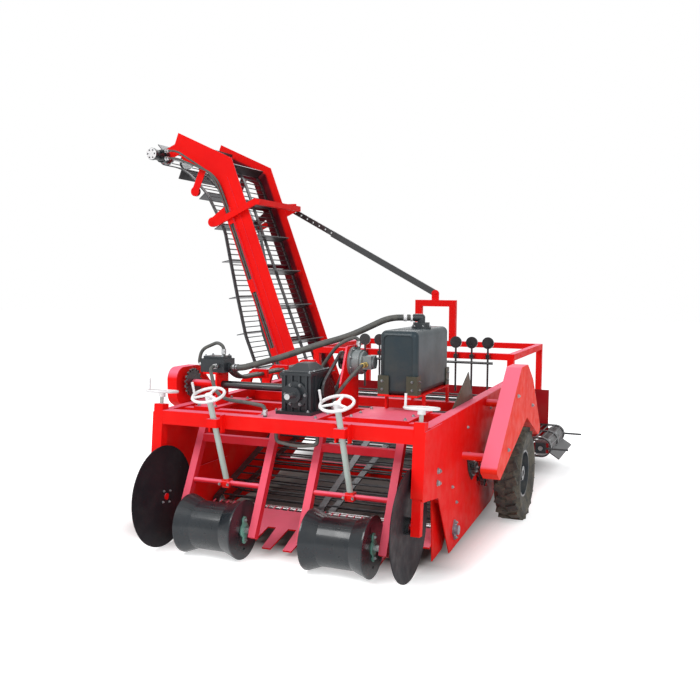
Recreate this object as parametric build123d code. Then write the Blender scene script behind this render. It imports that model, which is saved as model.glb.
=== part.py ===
from build123d import *
import math
import os

# Two-row potato harvester with a side elevator, in millimetres.
# X runs to the right seen from the front, with 0 at the middle of the machine.
# Y runs to the rear, with 0 at the coulter axles, and Z runs up from the ground.

# Clearances
SEAT = 0.3
RUN = 0.05
MOVE = 6.0

# Digging width, and the frame that stands round it
SHARE_HALF = 800.0
CHEEK_GAP = 50.0
PLATE = 6.0
RAIL = 60.0
RAIL_OUTER = SHARE_HALF + CHEEK_GAP
RAIL_INNER = RAIL_OUTER - RAIL
FRAME_HALF = RAIL_OUTER + PLATE
FRONT_BEAM_Y = 15.0
FRONT_BEAM_DEPTH = 80.0
FRONT_BEAM_TOP = 824.0
FRONT_BEAM_HEIGHT = 82.0
FRONT_BEAM_BACK = FRONT_BEAM_Y + FRONT_BEAM_DEPTH
DECK = 12.0
BEAM_TOP = FRONT_BEAM_TOP - DECK
SECOND_BEAM_Y = 245.0
THIRD_BEAM_Y = 640.0
REAR_BEAM_Y = 1150.0
DECK_REAR_Y = THIRD_BEAM_Y + RAIL
SIDE_FRONT_Y = 110.0
SIDE_REAR_Y = 2320.0
RAIL_FRONT_TOP = 819.0
RAIL_REAR_TOP = 850.0

# Side walls, as (y, z) from the front foot round to the rear top
WALL_FRONT_Y = 126.0
WALL_OUTLINE = [
    (WALL_FRONT_Y, 443.0), (285.0, 400.0), (525.0, 8.0), (1560.0, 72.0), (SIDE_REAR_Y, 380.0),
]
CLAMP_BOTTOM = 443.0
CLAMP_REAR_Y = 330.0

# Coulter discs on their legs
DISC_RADIUS = 305.0
DISC_X = FRAME_HALF - 70.0
DISC_THICKNESS = 6.0
DISC_DISH = 26.0
SLEEVE = 62.0
SLEEVE_BORE = 50.0
SLEEVE_BOTTOM = 455.0
POST_TOP = 859.0
POST_TOP_Y = 55.0
POST_LEAN = POST_TOP_Y / (POST_TOP - DISC_RADIUS)
LEG_X = FRAME_HALF - SLEEVE / 2
LEG_BOTTOM = 255.0
HUB_RADIUS = 62.0
HUB_SHAFT_RADIUS = 20.0

# Depth rollers, one to a row
ROLLER_X = SHARE_HALF / 2
ROLLER_LENGTH = 374.0
ROLLER_RADIUS = 171.0
ROLLER_WAIST = 140.0
ROLLER_CONE = 90.0
ROLLER_RIM = 8.0
ROLLER_SHEET = 6.0
ROLLER_Y = -22.0
ROLLER_AXLE_RADIUS = 20.0
ROLLER_DRAIN_RADIUS = 8.0

# Roller arms, hung under the second beam
ARM_OFFSET = ROLLER_LENGTH / 2 + 61.0
ARM_TUBE = 45.0
ARM_TOP_Y = 268.0
ARM_TOP_Z = BEAM_TOP - RAIL - 26.0
ARM_BOTTOM_Y = -28.0
ARM_BOTTOM_Z = 130.0
ARM_LUG = 8.0
ARM_LUG_HALF = 35.0
UPPER_BAR_Z = 640.0
LOWER_BAR_Z = 400.0
LOWER_BAR_RADIUS = 15.0

# Depth spindles with their hand wheels
HAND_RING_RADIUS = 92.0
HAND_RING_TUBE = 9.0
HAND_RING_RISE = 34.0
HAND_GRIP = 75.0
SPOKE_TURNS = (90.0, 210.0, 330.0)
SPINDLE_RADIUS = 17.0
SPINDLE_TOP_Y = -80.0
SPINDLE_TOP_Z = 920.0
SPINDLE_FOOT = 24.0
CLAMP_DEPTH = 80.0
CLAMP_HALF = 34.0
CLAMP_EAR = 10.0
STEM_RADIUS = 12.0
STEM_HEIGHT = 40.0

# Share, from the points of its fingers to its rear edge
SHARE_TIP_Y = 105.0
SHARE_TIP_Z = 32.0
SHARE_END_Y = 500.0
SHARE_END_Z = 148.0
SHARE_THICKNESS = 10.0
FINGER_COUNT = 11
FINGER_PITCH = 2 * SHARE_HALF / (FINGER_COUNT + 0.6)
FINGER_LENGTH = 217.0
FINGER_TIP_HALF = 28.0
FINGER_ROOT_HALF = 42.0
PRONG_RADIUS = 5.0
PRONG_LENGTH = 46.0
PRONG_PITCH = 50.0

# Digging web and its shafts, each as (y, z)
WEB_HALF = SHARE_HALF - 12.0
WEB_TURN = 52.0
WEB_SHAFTS = [(618.0, 126.0), (1750.0, 545.0), (2590.0, 625.0)]
WEB_SHAFT_RADIUS = 18.0
WEB_ROD_RADIUS = 6.0
WEB_PITCH = 88.0
BELT_WIDTH = 45.0
BELT_THICKNESS = 11.0
BELT_ROLLER_HALF = 12.0
BEARING_LONG = 62.0
BEARING_SHORT = 34.0
BEARING_BOSS_RADIUS = 28.0

# Ground wheels
TYRE_RADIUS = 315.0
TYRE_TOP = 2 * TYRE_RADIUS
TYRE_WIDTH = 170.0
TYRE_INNER_X = FRAME_HALF + 103.0
TYRE_OUTER_X = TYRE_INNER_X + TYRE_WIDTH
RIM_RADIUS = TYRE_RADIUS / 2
LUG_HEIGHT = 14.0
LUG_WIDTH = 70.0
LUG_LENGTH = 46.0
LUG_COUNT = 20
AXLE_Y = 1463.0
AXLE_TUBE = 70.0
AXLE_TUBE_TOP = 260.0
AXLE_PLATE_HALF = 90.0
AXLE_PLATE = 15.0
AXLE_RADIUS = 22.0
AXLE_COLLAR_RADIUS = 38.0

# Gearbox and input shaft
PTO_RADIUS = 17.5
PTO_FRONT_Y = 105.0
PTO_BACK_Y = 185.0
PTO_Z = 940.0
GEARBOX_HALF = 95.0
GEARBOX_FRONT_Y = 225.0
GEARBOX_BACK_Y = 505.0
GEARBOX_TOP = 1075.0
CROSS_SHAFT_Y = 400.0
CROSS_SHAFT_Z = 950.0
CROSS_SHAFT_RADIUS = 24.0

# Pump on the left of the cross shaft, and the sprocket at its end
PUMP_X = -RAIL_INNER + 150.0
PUMP_HALF = 85.0
PUMP_FRONT_Y = 335.0
PUMP_BACK_Y = 465.0
PUMP_LOW = 1030.0
PUMP_TOP = 1130.0
END_SPROCKET_X = -RAIL_INNER - 34.0
END_SPROCKET_RADIUS = 92.0
SPROCKET = 12.0

# Chain drive from the gearbox to the second pump
CHAIN_X = 131.0
CHAIN_WIDTH = 16.0
CHAIN_THICKNESS = 14.0
DRIVE_SPROCKET_RADIUS = 76.0
PUMP_SPROCKET_RADIUS = 50.0
SECOND_PUMP_Y = 600.0
SECOND_PUMP_Z = 1110.0
SECOND_PUMP_FACE_X = 202.0

# Oil tank
TANK_RIGHT = RAIL_INNER - 148.0
TANK_LEFT = TANK_RIGHT - 239.0
TANK_FRONT_Y = 530.0
TANK_BACK_Y = 1190.0
TANK_LOW = 925.0
TANK_TOP = 1313.0
TANK_EDGE = 38.0
TANK_RIM = 8.0
TANK_CAP_Y = 860.0
TANK_CAP_RADIUS = 52.0
TANK_SHELF = 8.0
TANK_CORNER_HEIGHT = 118.0
ELBOW_RISE = 66.0
SUCTION_RADIUS = 20.0

# Chain guard on the left, as (y, z), and the one over the right wheel
LEFT_GUARD_X = -FRAME_HALF - 20.0
LEFT_GUARD_WIDTH = 70.0
LEFT_GUARD = [(290.0, 1050.0), (560.0, 1050.0), (1080.0, 560.0), (980.0, 430.0), (290.0, 840.0)]
RIGHT_GUARD_X = FRAME_HALF + 154.0
RIGHT_GUARD_WIDTH = 100.0
RIGHT_GUARD = [
    (600.0, 500.0), (1290.0, TYRE_TOP + 421.0), (1500.0, TYRE_TOP + 421.0), (1700.0, TYRE_TOP + 300.0),
    (2030.0, 530.0), (1940.0, 500.0), (1500.0, TYRE_TOP + 60.0), (700.0, 430.0),
]
RIGHT_GUARD_POSTS = [(800.0, 540.0), (1400.0, 790.0), (1850.0, 640.0)]
GUARD_POST_RADIUS = 24.0

# Chain tensioner on the right wall, its two wheels as (y, z, radius)
TENSIONER_X = FRAME_HALF + 30.0
TENSIONER_WHEELS = [(1130.0, 395.0, 34.0), (1170.0, 315.0, 40.0)]

# Pipes from the left pump to the rear, on yokes that stand on the left rail
PIPE_XS = (-708.0, -672.0)
PIPE_Z = 950.0
PIPE_RADIUS = 13.0
PIPE_END_Y = 1890.0
YOKES_Y = (1063.0, 1377.0, 1857.0)
THIN_HOSE = 11.0

# Deflector on the right rail, as (y, z) of its peak between the y of its feet
DEFLECTOR_PEAK = (1140.0, 1020.0)
DEFLECTOR_FEET = (774.0, 1254.0)

# Rear frame and gantry
REAR_TUBE = 50.0
REAR_FRAME_TOP = 1050.0
REAR_FRAME_BACK_Y = 3450.0
GANTRY_TUBE = 60.0
GANTRY_LEFT = -340.0
GANTRY_RIGHT = 52.0
GANTRY_TOP = 1432.0

# Haulm fingers in front of the rear frame
FINGER_ROW_FIRST_X = -367.0
FINGER_ROW_STEP = 128.0
FINGER_ROW_COUNT = 9
FINGER_ROW_Y = 2235.0
FINGER_TOP_Z = 1132.0
FINGER_BOTTOM_Z = 745.0
FINGER_BAR_Z = 975.0
FINGER_BAR_RADIUS = 10.0
FINGER_ROD_RADIUS = 8.0
FINGER_DISC_RADIUS = 46.0

# Elevator: its trough crosses behind the web, its boom rises on the left
ELEVATOR_NEAR_Y = 2700.0
ELEVATOR_FAR_Y = REAR_FRAME_BACK_Y
TROUGH_TOP = 640.0
TROUGH_BOTTOM = 215.0
TROUGH_RIGHT = FRAME_HALF + 75.0
TAIL_X = FRAME_HALF + 144.0
TAIL_Z = 255.0
TURN = 75.0
SLACK_RADIUS = 400.0
END_SHAFT_RADIUS = 18.0
ELBOW_X = -FRAME_HALF - 264.0
ELBOW_Z = 330.0
ELBOW_PIN_RADIUS = 20.0
FLIGHT_HEIGHT = 95.0
FLIGHT_THICKNESS = 8.0
FLIGHT_PITCH = 350.0
FLIGHT_INSET = 22.0
ELEVATOR_PITCH = 50.0
ELEVATOR_ROD_RADIUS = 5.0

# Boom plate, as (x, z) offsets from the elbow pin
BOOM_GAP = MOVE
BOOM_PLATE = 6.0
BOOM_FOOT_RIGHT = (90.0, 90.0)
BOOM_BEND_OUT = (-770.0, 2405.0)
BOOM_OUTLINE = [
    BOOM_FOOT_RIGHT, BOOM_BEND_OUT, (-1347.0, 2667.0), (-1394.0, 2549.0), (-1280.0, 2390.0),
    (-965.0, 2260.0), (-142.0, 90.0), (-60.0, -70.0), (60.0, -70.0),
]
HEAD_SHAFT = (-1500.0, 2450.0)
HEAD_ANGLE = 12.4
HEAD_RUN = 655.0
HEAD_BRACKET_FOOT = (-1290.0, 2545.0)
BOOM_TIES = (0.3, 0.6, 0.85)

# Return rollers under the boom's head, as (x, z) offsets, with where their brackets hang
RETURN_ROLLERS = [((-1168.0, 2112.0), (-1075.0, 2320.0)), ((-982.0, 1821.0), (-790.0, 1960.0))]
RETURN_ROLLER_RADIUS = 45.0

# Clamp round the boom, and the brace from the gantry to it
CLAMP_LOW = (-910.0, 1775.0)
CLAMP_HIGH = (-470.0, 1975.0)
CLAMP_BAR = 50.0
BRACE_Y = REAR_FRAME_BACK_Y + 58.0
BRACE_PIN_OFFSET = (-595.0, 2003.0)
BRACE_LUG = (-156.0, 1492.0)
BRACE_BAR = 24.0
BRACE_LOWER_HEIGHT = 60.0
BRACE_UPPER_HEIGHT = 50.0
BRACE_PIN_RADIUS = 14.0
BRACE_HOLES = 9
BRACE_HOLE_RADIUS = 9.0
BRACE_HOLE_STEP = 75.0


def block(x, y, z):
    """Box between the low and high value of each pair."""
    middle = Pos((x[0] + x[1]) / 2, (y[0] + y[1]) / 2, (z[0] + z[1]) / 2)
    return middle * Box(x[1] - x[0], y[1] - y[0], z[1] - z[0])


def rod(start, end, radius):
    """Round bar between two points."""
    run = Vector(*end) - Vector(*start)
    plane = Plane(origin=start, z_dir=run)
    return plane * Cylinder(radius, run.length, align=(Align.CENTER, Align.CENTER, Align.MIN))


def cross_rod(x, y, z, radius):
    """Round bar along X between the pair x."""
    return rod((x[0], y, z), (x[1], y, z), radius)


def long_rod(x, y, z, radius):
    """Round bar along Y between the pair y."""
    return rod((x, y[0], z), (x, y[1], z), radius)


def bar(start, end, width, height, across=(1, 0, 0)):
    """Rectangular bar between two points, its width along the direction across."""
    run = Vector(*end) - Vector(*start)
    plane = Plane(origin=start, x_dir=across, z_dir=run)
    return plane * Box(width, height, run.length, align=(Align.CENTER, Align.CENTER, Align.MIN))


def side_plate(points, x0, x1):
    """Plate in a lengthwise plane, from (y, z) points."""
    wire = Wire(Polyline(*[(x0, y, z) for y, z in points], close=True))
    return extrude(Face(wire), x1 - x0, dir=(1, 0, 0))


def cross_plate(points, y0, y1):
    """Plate in a crosswise plane, from (x, z) points."""
    wire = Wire(Polyline(*[(x, y0, z) for x, z in points], close=True))
    return extrude(Face(wire), y1 - y0, dir=(0, 1, 0))


def turned(outline, y, z):
    """Solid of revolution about the X line through (y, z), from (radius, x) points."""
    wire = Wire(Polyline(*[(x, y, z + radius) for radius, x in outline], close=True))
    return revolve(Face(wire), Axis((0, y, z), (1, 0, 0)))


def hexagon_rod(x0, x1, y, z, radius):
    """Six-sided bar along X."""
    section = Plane(origin=(x0, y, z), z_dir=(1, 0, 0)) * RegularPolygon(radius, 6)
    return extrude(section, x1 - x0, dir=(1, 0, 0))


def bend_radii(points):
    """Largest radius that each inner corner of a line has room for."""
    corners = [Vector(*point) for point in points]
    radii = []
    for before, at, after in zip(corners, corners[1:], corners[2:]):
        turn = (at - before).get_angle(after - at)
        shorter = min((at - before).length, (after - at).length)
        radii.append(0.45 * shorter / math.tan(math.radians(turn) / 2))
    return radii


def hose(points, radius):
    """Round hose of straight runs and wide tangent arcs through the points."""
    path = Wire(FilletPolyline(*points, radius=bend_radii(points)))
    section = Plane(origin=path @ 0, z_dir=path % 0) * Circle(radius)
    return sweep(section, path=path)


def both(shape):
    """The shape and its mirror image on the other side of the machine."""
    return [shape, mirror(shape, about=Plane.YZ)]


def lerp(a, b, share):
    return a + (b - a) * share


NODES = {}


def node(name, *shapes):
    """Keeps the solids of one named sub-part."""
    solids = NODES.setdefault(name, [])
    for shape in shapes:
        parts = shape if isinstance(shape, list) else [shape]
        for part in parts:
            solids.extend(part.solids())


def weld(name):
    """Joins the touching solids of a sub-part."""
    first, *others = NODES[name]
    NODES[name] = first.fuse(*others).solids()


# Frame of tubes and plates

def post_y(z):
    """Y of the leaning post's middle line at height z."""
    return POST_TOP_Y - (POST_TOP - z) * POST_LEAN


def rail_top(y):
    """Height of the side rail's top at y."""
    share = (y - SIDE_FRONT_Y) / (SIDE_REAR_Y - SIDE_FRONT_Y)
    return lerp(RAIL_FRONT_TOP, RAIL_REAR_TOP, share)


def cross_beams():
    front_half = LEG_X - SLEEVE / 2
    node("cross_beams", block((-front_half, front_half), (FRONT_BEAM_Y, FRONT_BEAM_BACK),
                              (FRONT_BEAM_TOP - FRONT_BEAM_HEIGHT, FRONT_BEAM_TOP)))
    for y in (SECOND_BEAM_Y, THIRD_BEAM_Y, REAR_BEAM_Y):
        node("cross_beams", block((-RAIL_INNER, RAIL_INNER), (y, y + RAIL), (BEAM_TOP - RAIL, BEAM_TOP)))


def side_rails():
    front_top = rail_top(FRONT_BEAM_BACK)
    profile = [
        (FRONT_BEAM_BACK, front_top), (SIDE_REAR_Y, RAIL_REAR_TOP),
        (SIDE_REAR_Y, RAIL_REAR_TOP - RAIL), (FRONT_BEAM_BACK, front_top - RAIL),
    ]
    node("side_rails", both(side_plate(profile, RAIL_INNER, RAIL_OUTER)))


def side_walls():
    outline = [(WALL_FRONT_Y, rail_top(WALL_FRONT_Y) - 1)] + WALL_OUTLINE + [(SIDE_REAR_Y, RAIL_REAR_TOP - 1)]
    node("side_walls", both(side_plate(outline, RAIL_OUTER, FRAME_HALF)))


def sleeves():
    """Square sleeves on the beam's ends, with the plates that hold them to the walls."""
    top = (LEG_X, post_y(POST_TOP), POST_TOP)
    bottom = (LEG_X, post_y(SLEEVE_BOTTOM), SLEEVE_BOTTOM)
    bore_top = (LEG_X, post_y(POST_TOP - PLATE), POST_TOP - PLATE)
    below = (LEG_X, post_y(SLEEVE_BOTTOM - SLEEVE), SLEEVE_BOTTOM - SLEEVE)
    sleeve = bar(top, bottom, SLEEVE, SLEEVE) - bar(bore_top, below, SLEEVE_BORE, SLEEVE_BORE)
    node("post_sleeves", both(sleeve))
    front = SLEEVE / 2
    clamp_top = RAIL_FRONT_TOP - PLATE
    outline = [
        (post_y(clamp_top) - front, clamp_top), (post_y(CLAMP_BOTTOM) - front, CLAMP_BOTTOM),
        (CLAMP_REAR_Y, CLAMP_BOTTOM - 50), (CLAMP_REAR_Y, clamp_top),
    ]
    node("clamp_plates", both(side_plate(outline, FRAME_HALF, FRAME_HALF + PLATE)))


def legs():
    leg_top = POST_TOP - 2 * SLEEVE
    top = (LEG_X, post_y(leg_top), leg_top)
    bottom = (LEG_X, post_y(LEG_BOTTOM), LEG_BOTTOM)
    width = SLEEVE_BORE - 2 * SEAT
    leg = bar(top, bottom, width, width)
    stub = cross_rod((DISC_X - DISC_DISH - 4, LEG_X - width / 2), 0, DISC_RADIUS, HUB_SHAFT_RADIUS)
    node("coulter_legs", both(leg + stub))


def coulter():
    """Dished disc and its hub, on the right side."""
    inner = DISC_X - DISC_DISH
    bore = HUB_SHAFT_RADIUS + RUN
    disc = turned([
        (HUB_RADIUS, inner), (DISC_RADIUS, DISC_X - DISC_THICKNESS), (DISC_RADIUS, DISC_X),
        (HUB_RADIUS, inner + DISC_THICKNESS), (bore, inner + DISC_THICKNESS), (bore, inner),
    ], 0, DISC_RADIUS)
    outer = LEG_X - SLEEVE_BORE / 2 - MOVE
    hub = turned([
        (bore, inner + DISC_THICKNESS), (HUB_RADIUS * 0.75, inner + DISC_THICKNESS),
        (HUB_RADIUS * 0.75, outer), (bore, outer),
    ], 0, DISC_RADIUS)
    return disc, hub


def coulters():
    disc, hub = coulter()
    node("coulter_disc_right", disc)
    node("coulter_hub_right", hub)
    node("coulter_disc_left", mirror(disc, about=Plane.YZ))
    node("coulter_hub_left", mirror(hub, about=Plane.YZ))


# Depth rollers on their arms

def roller(middle):
    """Hollow waisted drum between two flat ends, each with a drain hole."""
    half = ROLLER_LENGTH / 2
    cone = half - ROLLER_CONE
    waist = ROLLER_WAIST - ROLLER_SHEET
    rim = ROLLER_RADIUS - ROLLER_SHEET
    bore = ROLLER_AXLE_RADIUS + RUN
    core = ROLLER_AXLE_RADIUS + ROLLER_SHEET
    solid = turned([
        (bore, middle - half), (ROLLER_RADIUS, middle - half), (ROLLER_RADIUS, middle - half + ROLLER_RIM),
        (ROLLER_WAIST, middle - cone), (ROLLER_WAIST, middle + cone),
        (ROLLER_RADIUS, middle + half - ROLLER_RIM), (ROLLER_RADIUS, middle + half), (bore, middle + half),
    ], ROLLER_Y, ROLLER_RADIUS)
    hollow = turned([
        (core, middle - half + ROLLER_SHEET), (rim, middle - half + ROLLER_SHEET),
        (waist, middle - cone), (waist, middle + cone),
        (rim, middle + half - ROLLER_SHEET), (core, middle + half - ROLLER_SHEET),
    ], ROLLER_Y, ROLLER_RADIUS)
    drain = cross_rod((middle - half - 1, middle + half + 1), ROLLER_Y, ROLLER_RADIUS - ROLLER_WAIST * 0.8,
                      ROLLER_DRAIN_RADIUS)
    return solid - hollow - drain


def arm_line(z):
    """Y of the roller arm's middle line at height z."""
    share = (z - ARM_BOTTOM_Z) / (ARM_TOP_Z - ARM_BOTTOM_Z)
    return lerp(ARM_BOTTOM_Y, ARM_TOP_Y, share)


def rollers():
    """Each roller turns between two arms that two crossbars join."""
    node("roller_right", roller(ROLLER_X))
    node("roller_left", roller(-ROLLER_X))
    for middle in (-ROLLER_X, ROLLER_X):
        for x in (middle - ARM_OFFSET, middle + ARM_OFFSET):
            top, bottom = (x, ARM_TOP_Y, ARM_TOP_Z), (x, ARM_BOTTOM_Y, ARM_BOTTOM_Z)
            node("roller_arms", bar(top, bottom, ARM_TUBE, ARM_TUBE))
            for lug_x in (x - ARM_TUBE / 2 - ARM_LUG, x + ARM_TUBE / 2):
                node("cross_beams", block((lug_x, lug_x + ARM_LUG),
                                          (ARM_TOP_Y - ARM_LUG_HALF, ARM_TOP_Y + ARM_LUG_HALF),
                                          (ARM_TOP_Z - 20, BEAM_TOP - RAIL)))
        x0 = middle - ARM_OFFSET + ARM_TUBE / 2
        x1 = middle + ARM_OFFSET - ARM_TUBE / 2
        upper_y = arm_line(UPPER_BAR_Z)
        node("roller_arms", bar((x0, upper_y, UPPER_BAR_Z), (x1, upper_y, UPPER_BAR_Z),
                                ARM_TUBE, ARM_TUBE, across=(0, 1, 0)))
        node("roller_arms", cross_rod((x0, x1), arm_line(LOWER_BAR_Z), LOWER_BAR_Z, LOWER_BAR_RADIUS))
        node("roller_axles", cross_rod((x0, x1), ROLLER_Y, ROLLER_RADIUS, ROLLER_AXLE_RADIUS))
    weld("roller_arms")


def hand_wheel(seat, axis):
    """Three-spoked wheel whose hub stands on the point seat, square to the axis."""
    wheel = Pos(0, 0, SEAT + HAND_RING_RISE / 2 + 3) * Cylinder(22, HAND_RING_RISE + 6)
    for turn in SPOKE_TURNS:
        spoke = Pos(HAND_RING_RADIUS / 2, 0, HAND_RING_RISE) * Box(HAND_RING_RADIUS, 16, 8)
        wheel = wheel + Rot(0, 0, turn) * spoke
    section = Plane.XZ * Pos(HAND_RING_RADIUS, HAND_RING_RISE) * RegularPolygon(HAND_RING_TUBE, 6)
    wheel = wheel + revolve(section, Axis.Z)
    grip = rod((-HAND_RING_RADIUS, 0, HAND_RING_RISE), (-HAND_RING_RADIUS, 0, HAND_RING_RISE + HAND_GRIP), 7)
    plane = Plane(origin=seat, x_dir=(1, 0, 0), z_dir=axis)
    return plane * (wheel + grip)


def spindles():
    """Spindles from the lower crossbars through clamps on the front beam, and the posts' stems."""
    foot_y = arm_line(LOWER_BAR_Z)
    beam_low = FRONT_BEAM_TOP - FRONT_BEAM_HEIGHT
    for x in (-ROLLER_X, ROLLER_X):
        top = (x, SPINDLE_TOP_Y, SPINDLE_TOP_Z)
        foot = (x, foot_y, LOWER_BAR_Z)
        half = SPINDLE_FOOT
        stem = rod(foot, top, SPINDLE_RADIUS) + block(
            (x - half, x + half), (foot_y - half, foot_y + half), (LOWER_BAR_Z - half, LOWER_BAR_Z + half))
        hole = cross_rod((x - half - 1, x + half + 1), foot_y, LOWER_BAR_Z, LOWER_BAR_RADIUS + SEAT)
        node("spindles", stem - hole)
        node("hand_wheels", hand_wheel(top, Vector(*top) - Vector(*foot)))
        clamp = block((x - CLAMP_HALF, x + CLAMP_HALF), (FRONT_BEAM_Y - CLAMP_DEPTH, FRONT_BEAM_Y),
                      (beam_low + 16, FRONT_BEAM_TOP - 16))
        for ear_x in (x - CLAMP_HALF - CLAMP_EAR, x + CLAMP_HALF):
            clamp = clamp + block((ear_x, ear_x + CLAMP_EAR), (FRONT_BEAM_Y - CLAMP_DEPTH / 2, FRONT_BEAM_Y),
                                  (beam_low - 18, FRONT_BEAM_TOP + 4))
        node("cross_beams", clamp - rod(foot, top, SPINDLE_RADIUS + SEAT))
    for x in (-LEG_X, LEG_X):
        foot = (x, post_y(POST_TOP), POST_TOP)
        top = (x, post_y(POST_TOP + STEM_HEIGHT), POST_TOP + STEM_HEIGHT)
        node("spindles", rod(foot, top, STEM_RADIUS))
        node("hand_wheels", hand_wheel(top, Vector(*top) - Vector(*foot)))


# Share and digging web

def share():
    """Sloping blade with flat fingers in front and round prongs behind."""
    length = math.hypot(SHARE_END_Y - SHARE_TIP_Y, SHARE_END_Z - SHARE_TIP_Z)
    slope = (SHARE_END_Z - SHARE_TIP_Z) / (SHARE_END_Y - SHARE_TIP_Y)
    plane = Plane(origin=(0, SHARE_TIP_Y, SHARE_TIP_Z), x_dir=(1, 0, 0), z_dir=(0, -slope, 1))
    blade = Pos(0, (length + FINGER_LENGTH) / 2, 0) * Box(
        2 * SHARE_HALF, length - FINGER_LENGTH, SHARE_THICKNESS)
    root = FINGER_LENGTH + 5
    finger = Polyline((-FINGER_TIP_HALF, 0), (FINGER_TIP_HALF, 0), (FINGER_ROOT_HALF, root),
                      (-FINGER_ROOT_HALF, root), close=True)
    finger = extrude(make_face(finger), SHARE_THICKNESS)
    first = -FINGER_PITCH * (FINGER_COUNT - 1) / 2
    for i in range(FINGER_COUNT):
        blade = blade + Pos(first + i * FINGER_PITCH, 0, -SHARE_THICKNESS / 2) * finger
    prong = Rot(-90, 0, 0) * extrude(RegularPolygon(PRONG_RADIUS, 6), PRONG_LENGTH)
    prongs = int(2 * SHARE_HALF / PRONG_PITCH) - 1
    for i in range(prongs):
        blade = blade + Pos((i - (prongs - 1) / 2) * PRONG_PITCH, length - 2, 0) * prong
    node("share", plane * blade)


def share_cheeks():
    """Plates that carry the share's ends, joined to the side walls by spacers."""
    inner = SHARE_HALF + SEAT
    y, z = WEB_SHAFTS[0]
    outline = [(318, 400), (350, 6), (540, 24), (y + 160, z + 64), (y + 160, 400)]
    plate = side_plate(outline, inner, inner + PLATE)
    for spacer_y, spacer_z in ((380, 360), (y + 100, 300)):
        plate = plate + cross_rod((inner + PLATE, RAIL_OUTER), spacer_y, spacer_z, 16)
    hole = cross_rod((inner - 1, inner + PLATE + 1), y, z, WEB_SHAFT_RADIUS + SEAT)
    node("share_cheeks", both(plate - hole))


def web_middles():
    """X of the middle of each of the digging web's belts."""
    outer = WEB_HALF - BELT_WIDTH / 2
    return [-outer, 0, outer]


def web_shafts():
    """Shafts of the digging web with their rollers, between the side walls."""
    roller_radius = WEB_TURN - WEB_ROD_RADIUS - SEAT
    for y, z in WEB_SHAFTS:
        shaft = cross_rod((-RAIL_OUTER, RAIL_OUTER), y, z, WEB_SHAFT_RADIUS)
        for x in web_middles():
            shaft = shaft + cross_rod((x - BELT_ROLLER_HALF, x + BELT_ROLLER_HALF), y, z, roller_radius)
        node("web_shafts", shaft)
        outer = FRAME_HALF if y < SIDE_REAR_Y else RAIL_OUTER + PLATE
        flange = [(y, z - BEARING_LONG), (y + BEARING_SHORT, z - BEARING_SHORT / 2),
                  (y + BEARING_SHORT, z + BEARING_SHORT / 2), (y, z + BEARING_LONG),
                  (y - BEARING_SHORT, z + BEARING_SHORT / 2), (y - BEARING_SHORT, z - BEARING_SHORT / 2)]
        housing = side_plate(flange, outer, outer + 12)
        housing = housing + cross_rod((outer, outer + 32), y, z, BEARING_BOSS_RADIUS)
        node("web_bearings", both(housing))


def digging_web():
    """Rods on three belts, wound round the shafts."""
    middles = Face(Wire(Polyline(*[(0, y, z) for y, z in WEB_SHAFTS], close=True)))
    wire = offset(middles, WEB_TURN).faces()[0].outer_wire()
    ring = offset(middles, WEB_TURN + BELT_THICKNESS / 2) - offset(middles, WEB_TURN - BELT_THICKNESS / 2)
    web = Part()
    for x in web_middles():
        web = web + Pos(x - BELT_WIDTH / 2, 0, 0) * extrude(ring, BELT_WIDTH, dir=(1, 0, 0))
    count = round(wire.length / WEB_PITCH)
    rods = []
    for i in range(count):
        at = wire.position_at(i / count)
        rods.append(hexagon_rod(-WEB_HALF, WEB_HALF, at.Y, at.Z, WEB_ROD_RADIUS))
    node("digging_web", web + rods)


# Ground wheels

def tyre():
    """Carcass with two staggered rows of lugs, on the right side."""
    tread = TYRE_RADIUS - LUG_HEIGHT
    wall = RIM_RADIUS + 70
    carcass = turned([
        (RIM_RADIUS, TYRE_INNER_X + 22), (wall, TYRE_INNER_X), (tread - 34, TYRE_INNER_X),
        (tread, TYRE_INNER_X + 36), (tread, TYRE_OUTER_X - 36), (tread - 34, TYRE_OUTER_X),
        (wall, TYRE_OUTER_X), (RIM_RADIUS, TYRE_OUTER_X - 22),
    ], AXLE_Y, TYRE_RADIUS)
    lugs = []
    for side, shift in ((1, 0.0), (-1, 0.5)):
        middle = (TYRE_INNER_X + TYRE_OUTER_X) / 2 + side * (LUG_WIDTH / 2 + 4)
        lug = Pos(middle, 0, tread + LUG_HEIGHT / 2 - 10) * Rot(0, 0, side * 24) * Box(
            LUG_WIDTH, LUG_LENGTH, LUG_HEIGHT + 20)
        for i in range(LUG_COUNT):
            turn = 360 * (i + shift) / LUG_COUNT
            lugs.append(Pos(0, AXLE_Y, TYRE_RADIUS) * Rot(turn, 0, 0) * lug)
    envelope = cross_rod((TYRE_INNER_X, TYRE_OUTER_X), AXLE_Y, TYRE_RADIUS, TYRE_RADIUS)
    return (carcass + lugs) & envelope


def rim():
    """Dished disc wheel with its hub, on the right side."""
    bore = AXLE_RADIUS + RUN
    well = RIM_RADIUS - 20
    edge = RIM_RADIUS - SEAT
    disc = TYRE_OUTER_X - 80
    return turned([
        (bore, TYRE_INNER_X + 50), (48, TYRE_INNER_X + 50), (48, disc), (well, disc),
        (well, TYRE_INNER_X + 22), (edge, TYRE_INNER_X + 22), (edge, TYRE_OUTER_X - 22),
        (edge - 12, TYRE_OUTER_X - 22), (edge - 14, disc + 8), (48, disc + 8),
        (48, TYRE_OUTER_X - 30), (bore, TYRE_OUTER_X - 30),
    ], AXLE_Y, TYRE_RADIUS)


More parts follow.
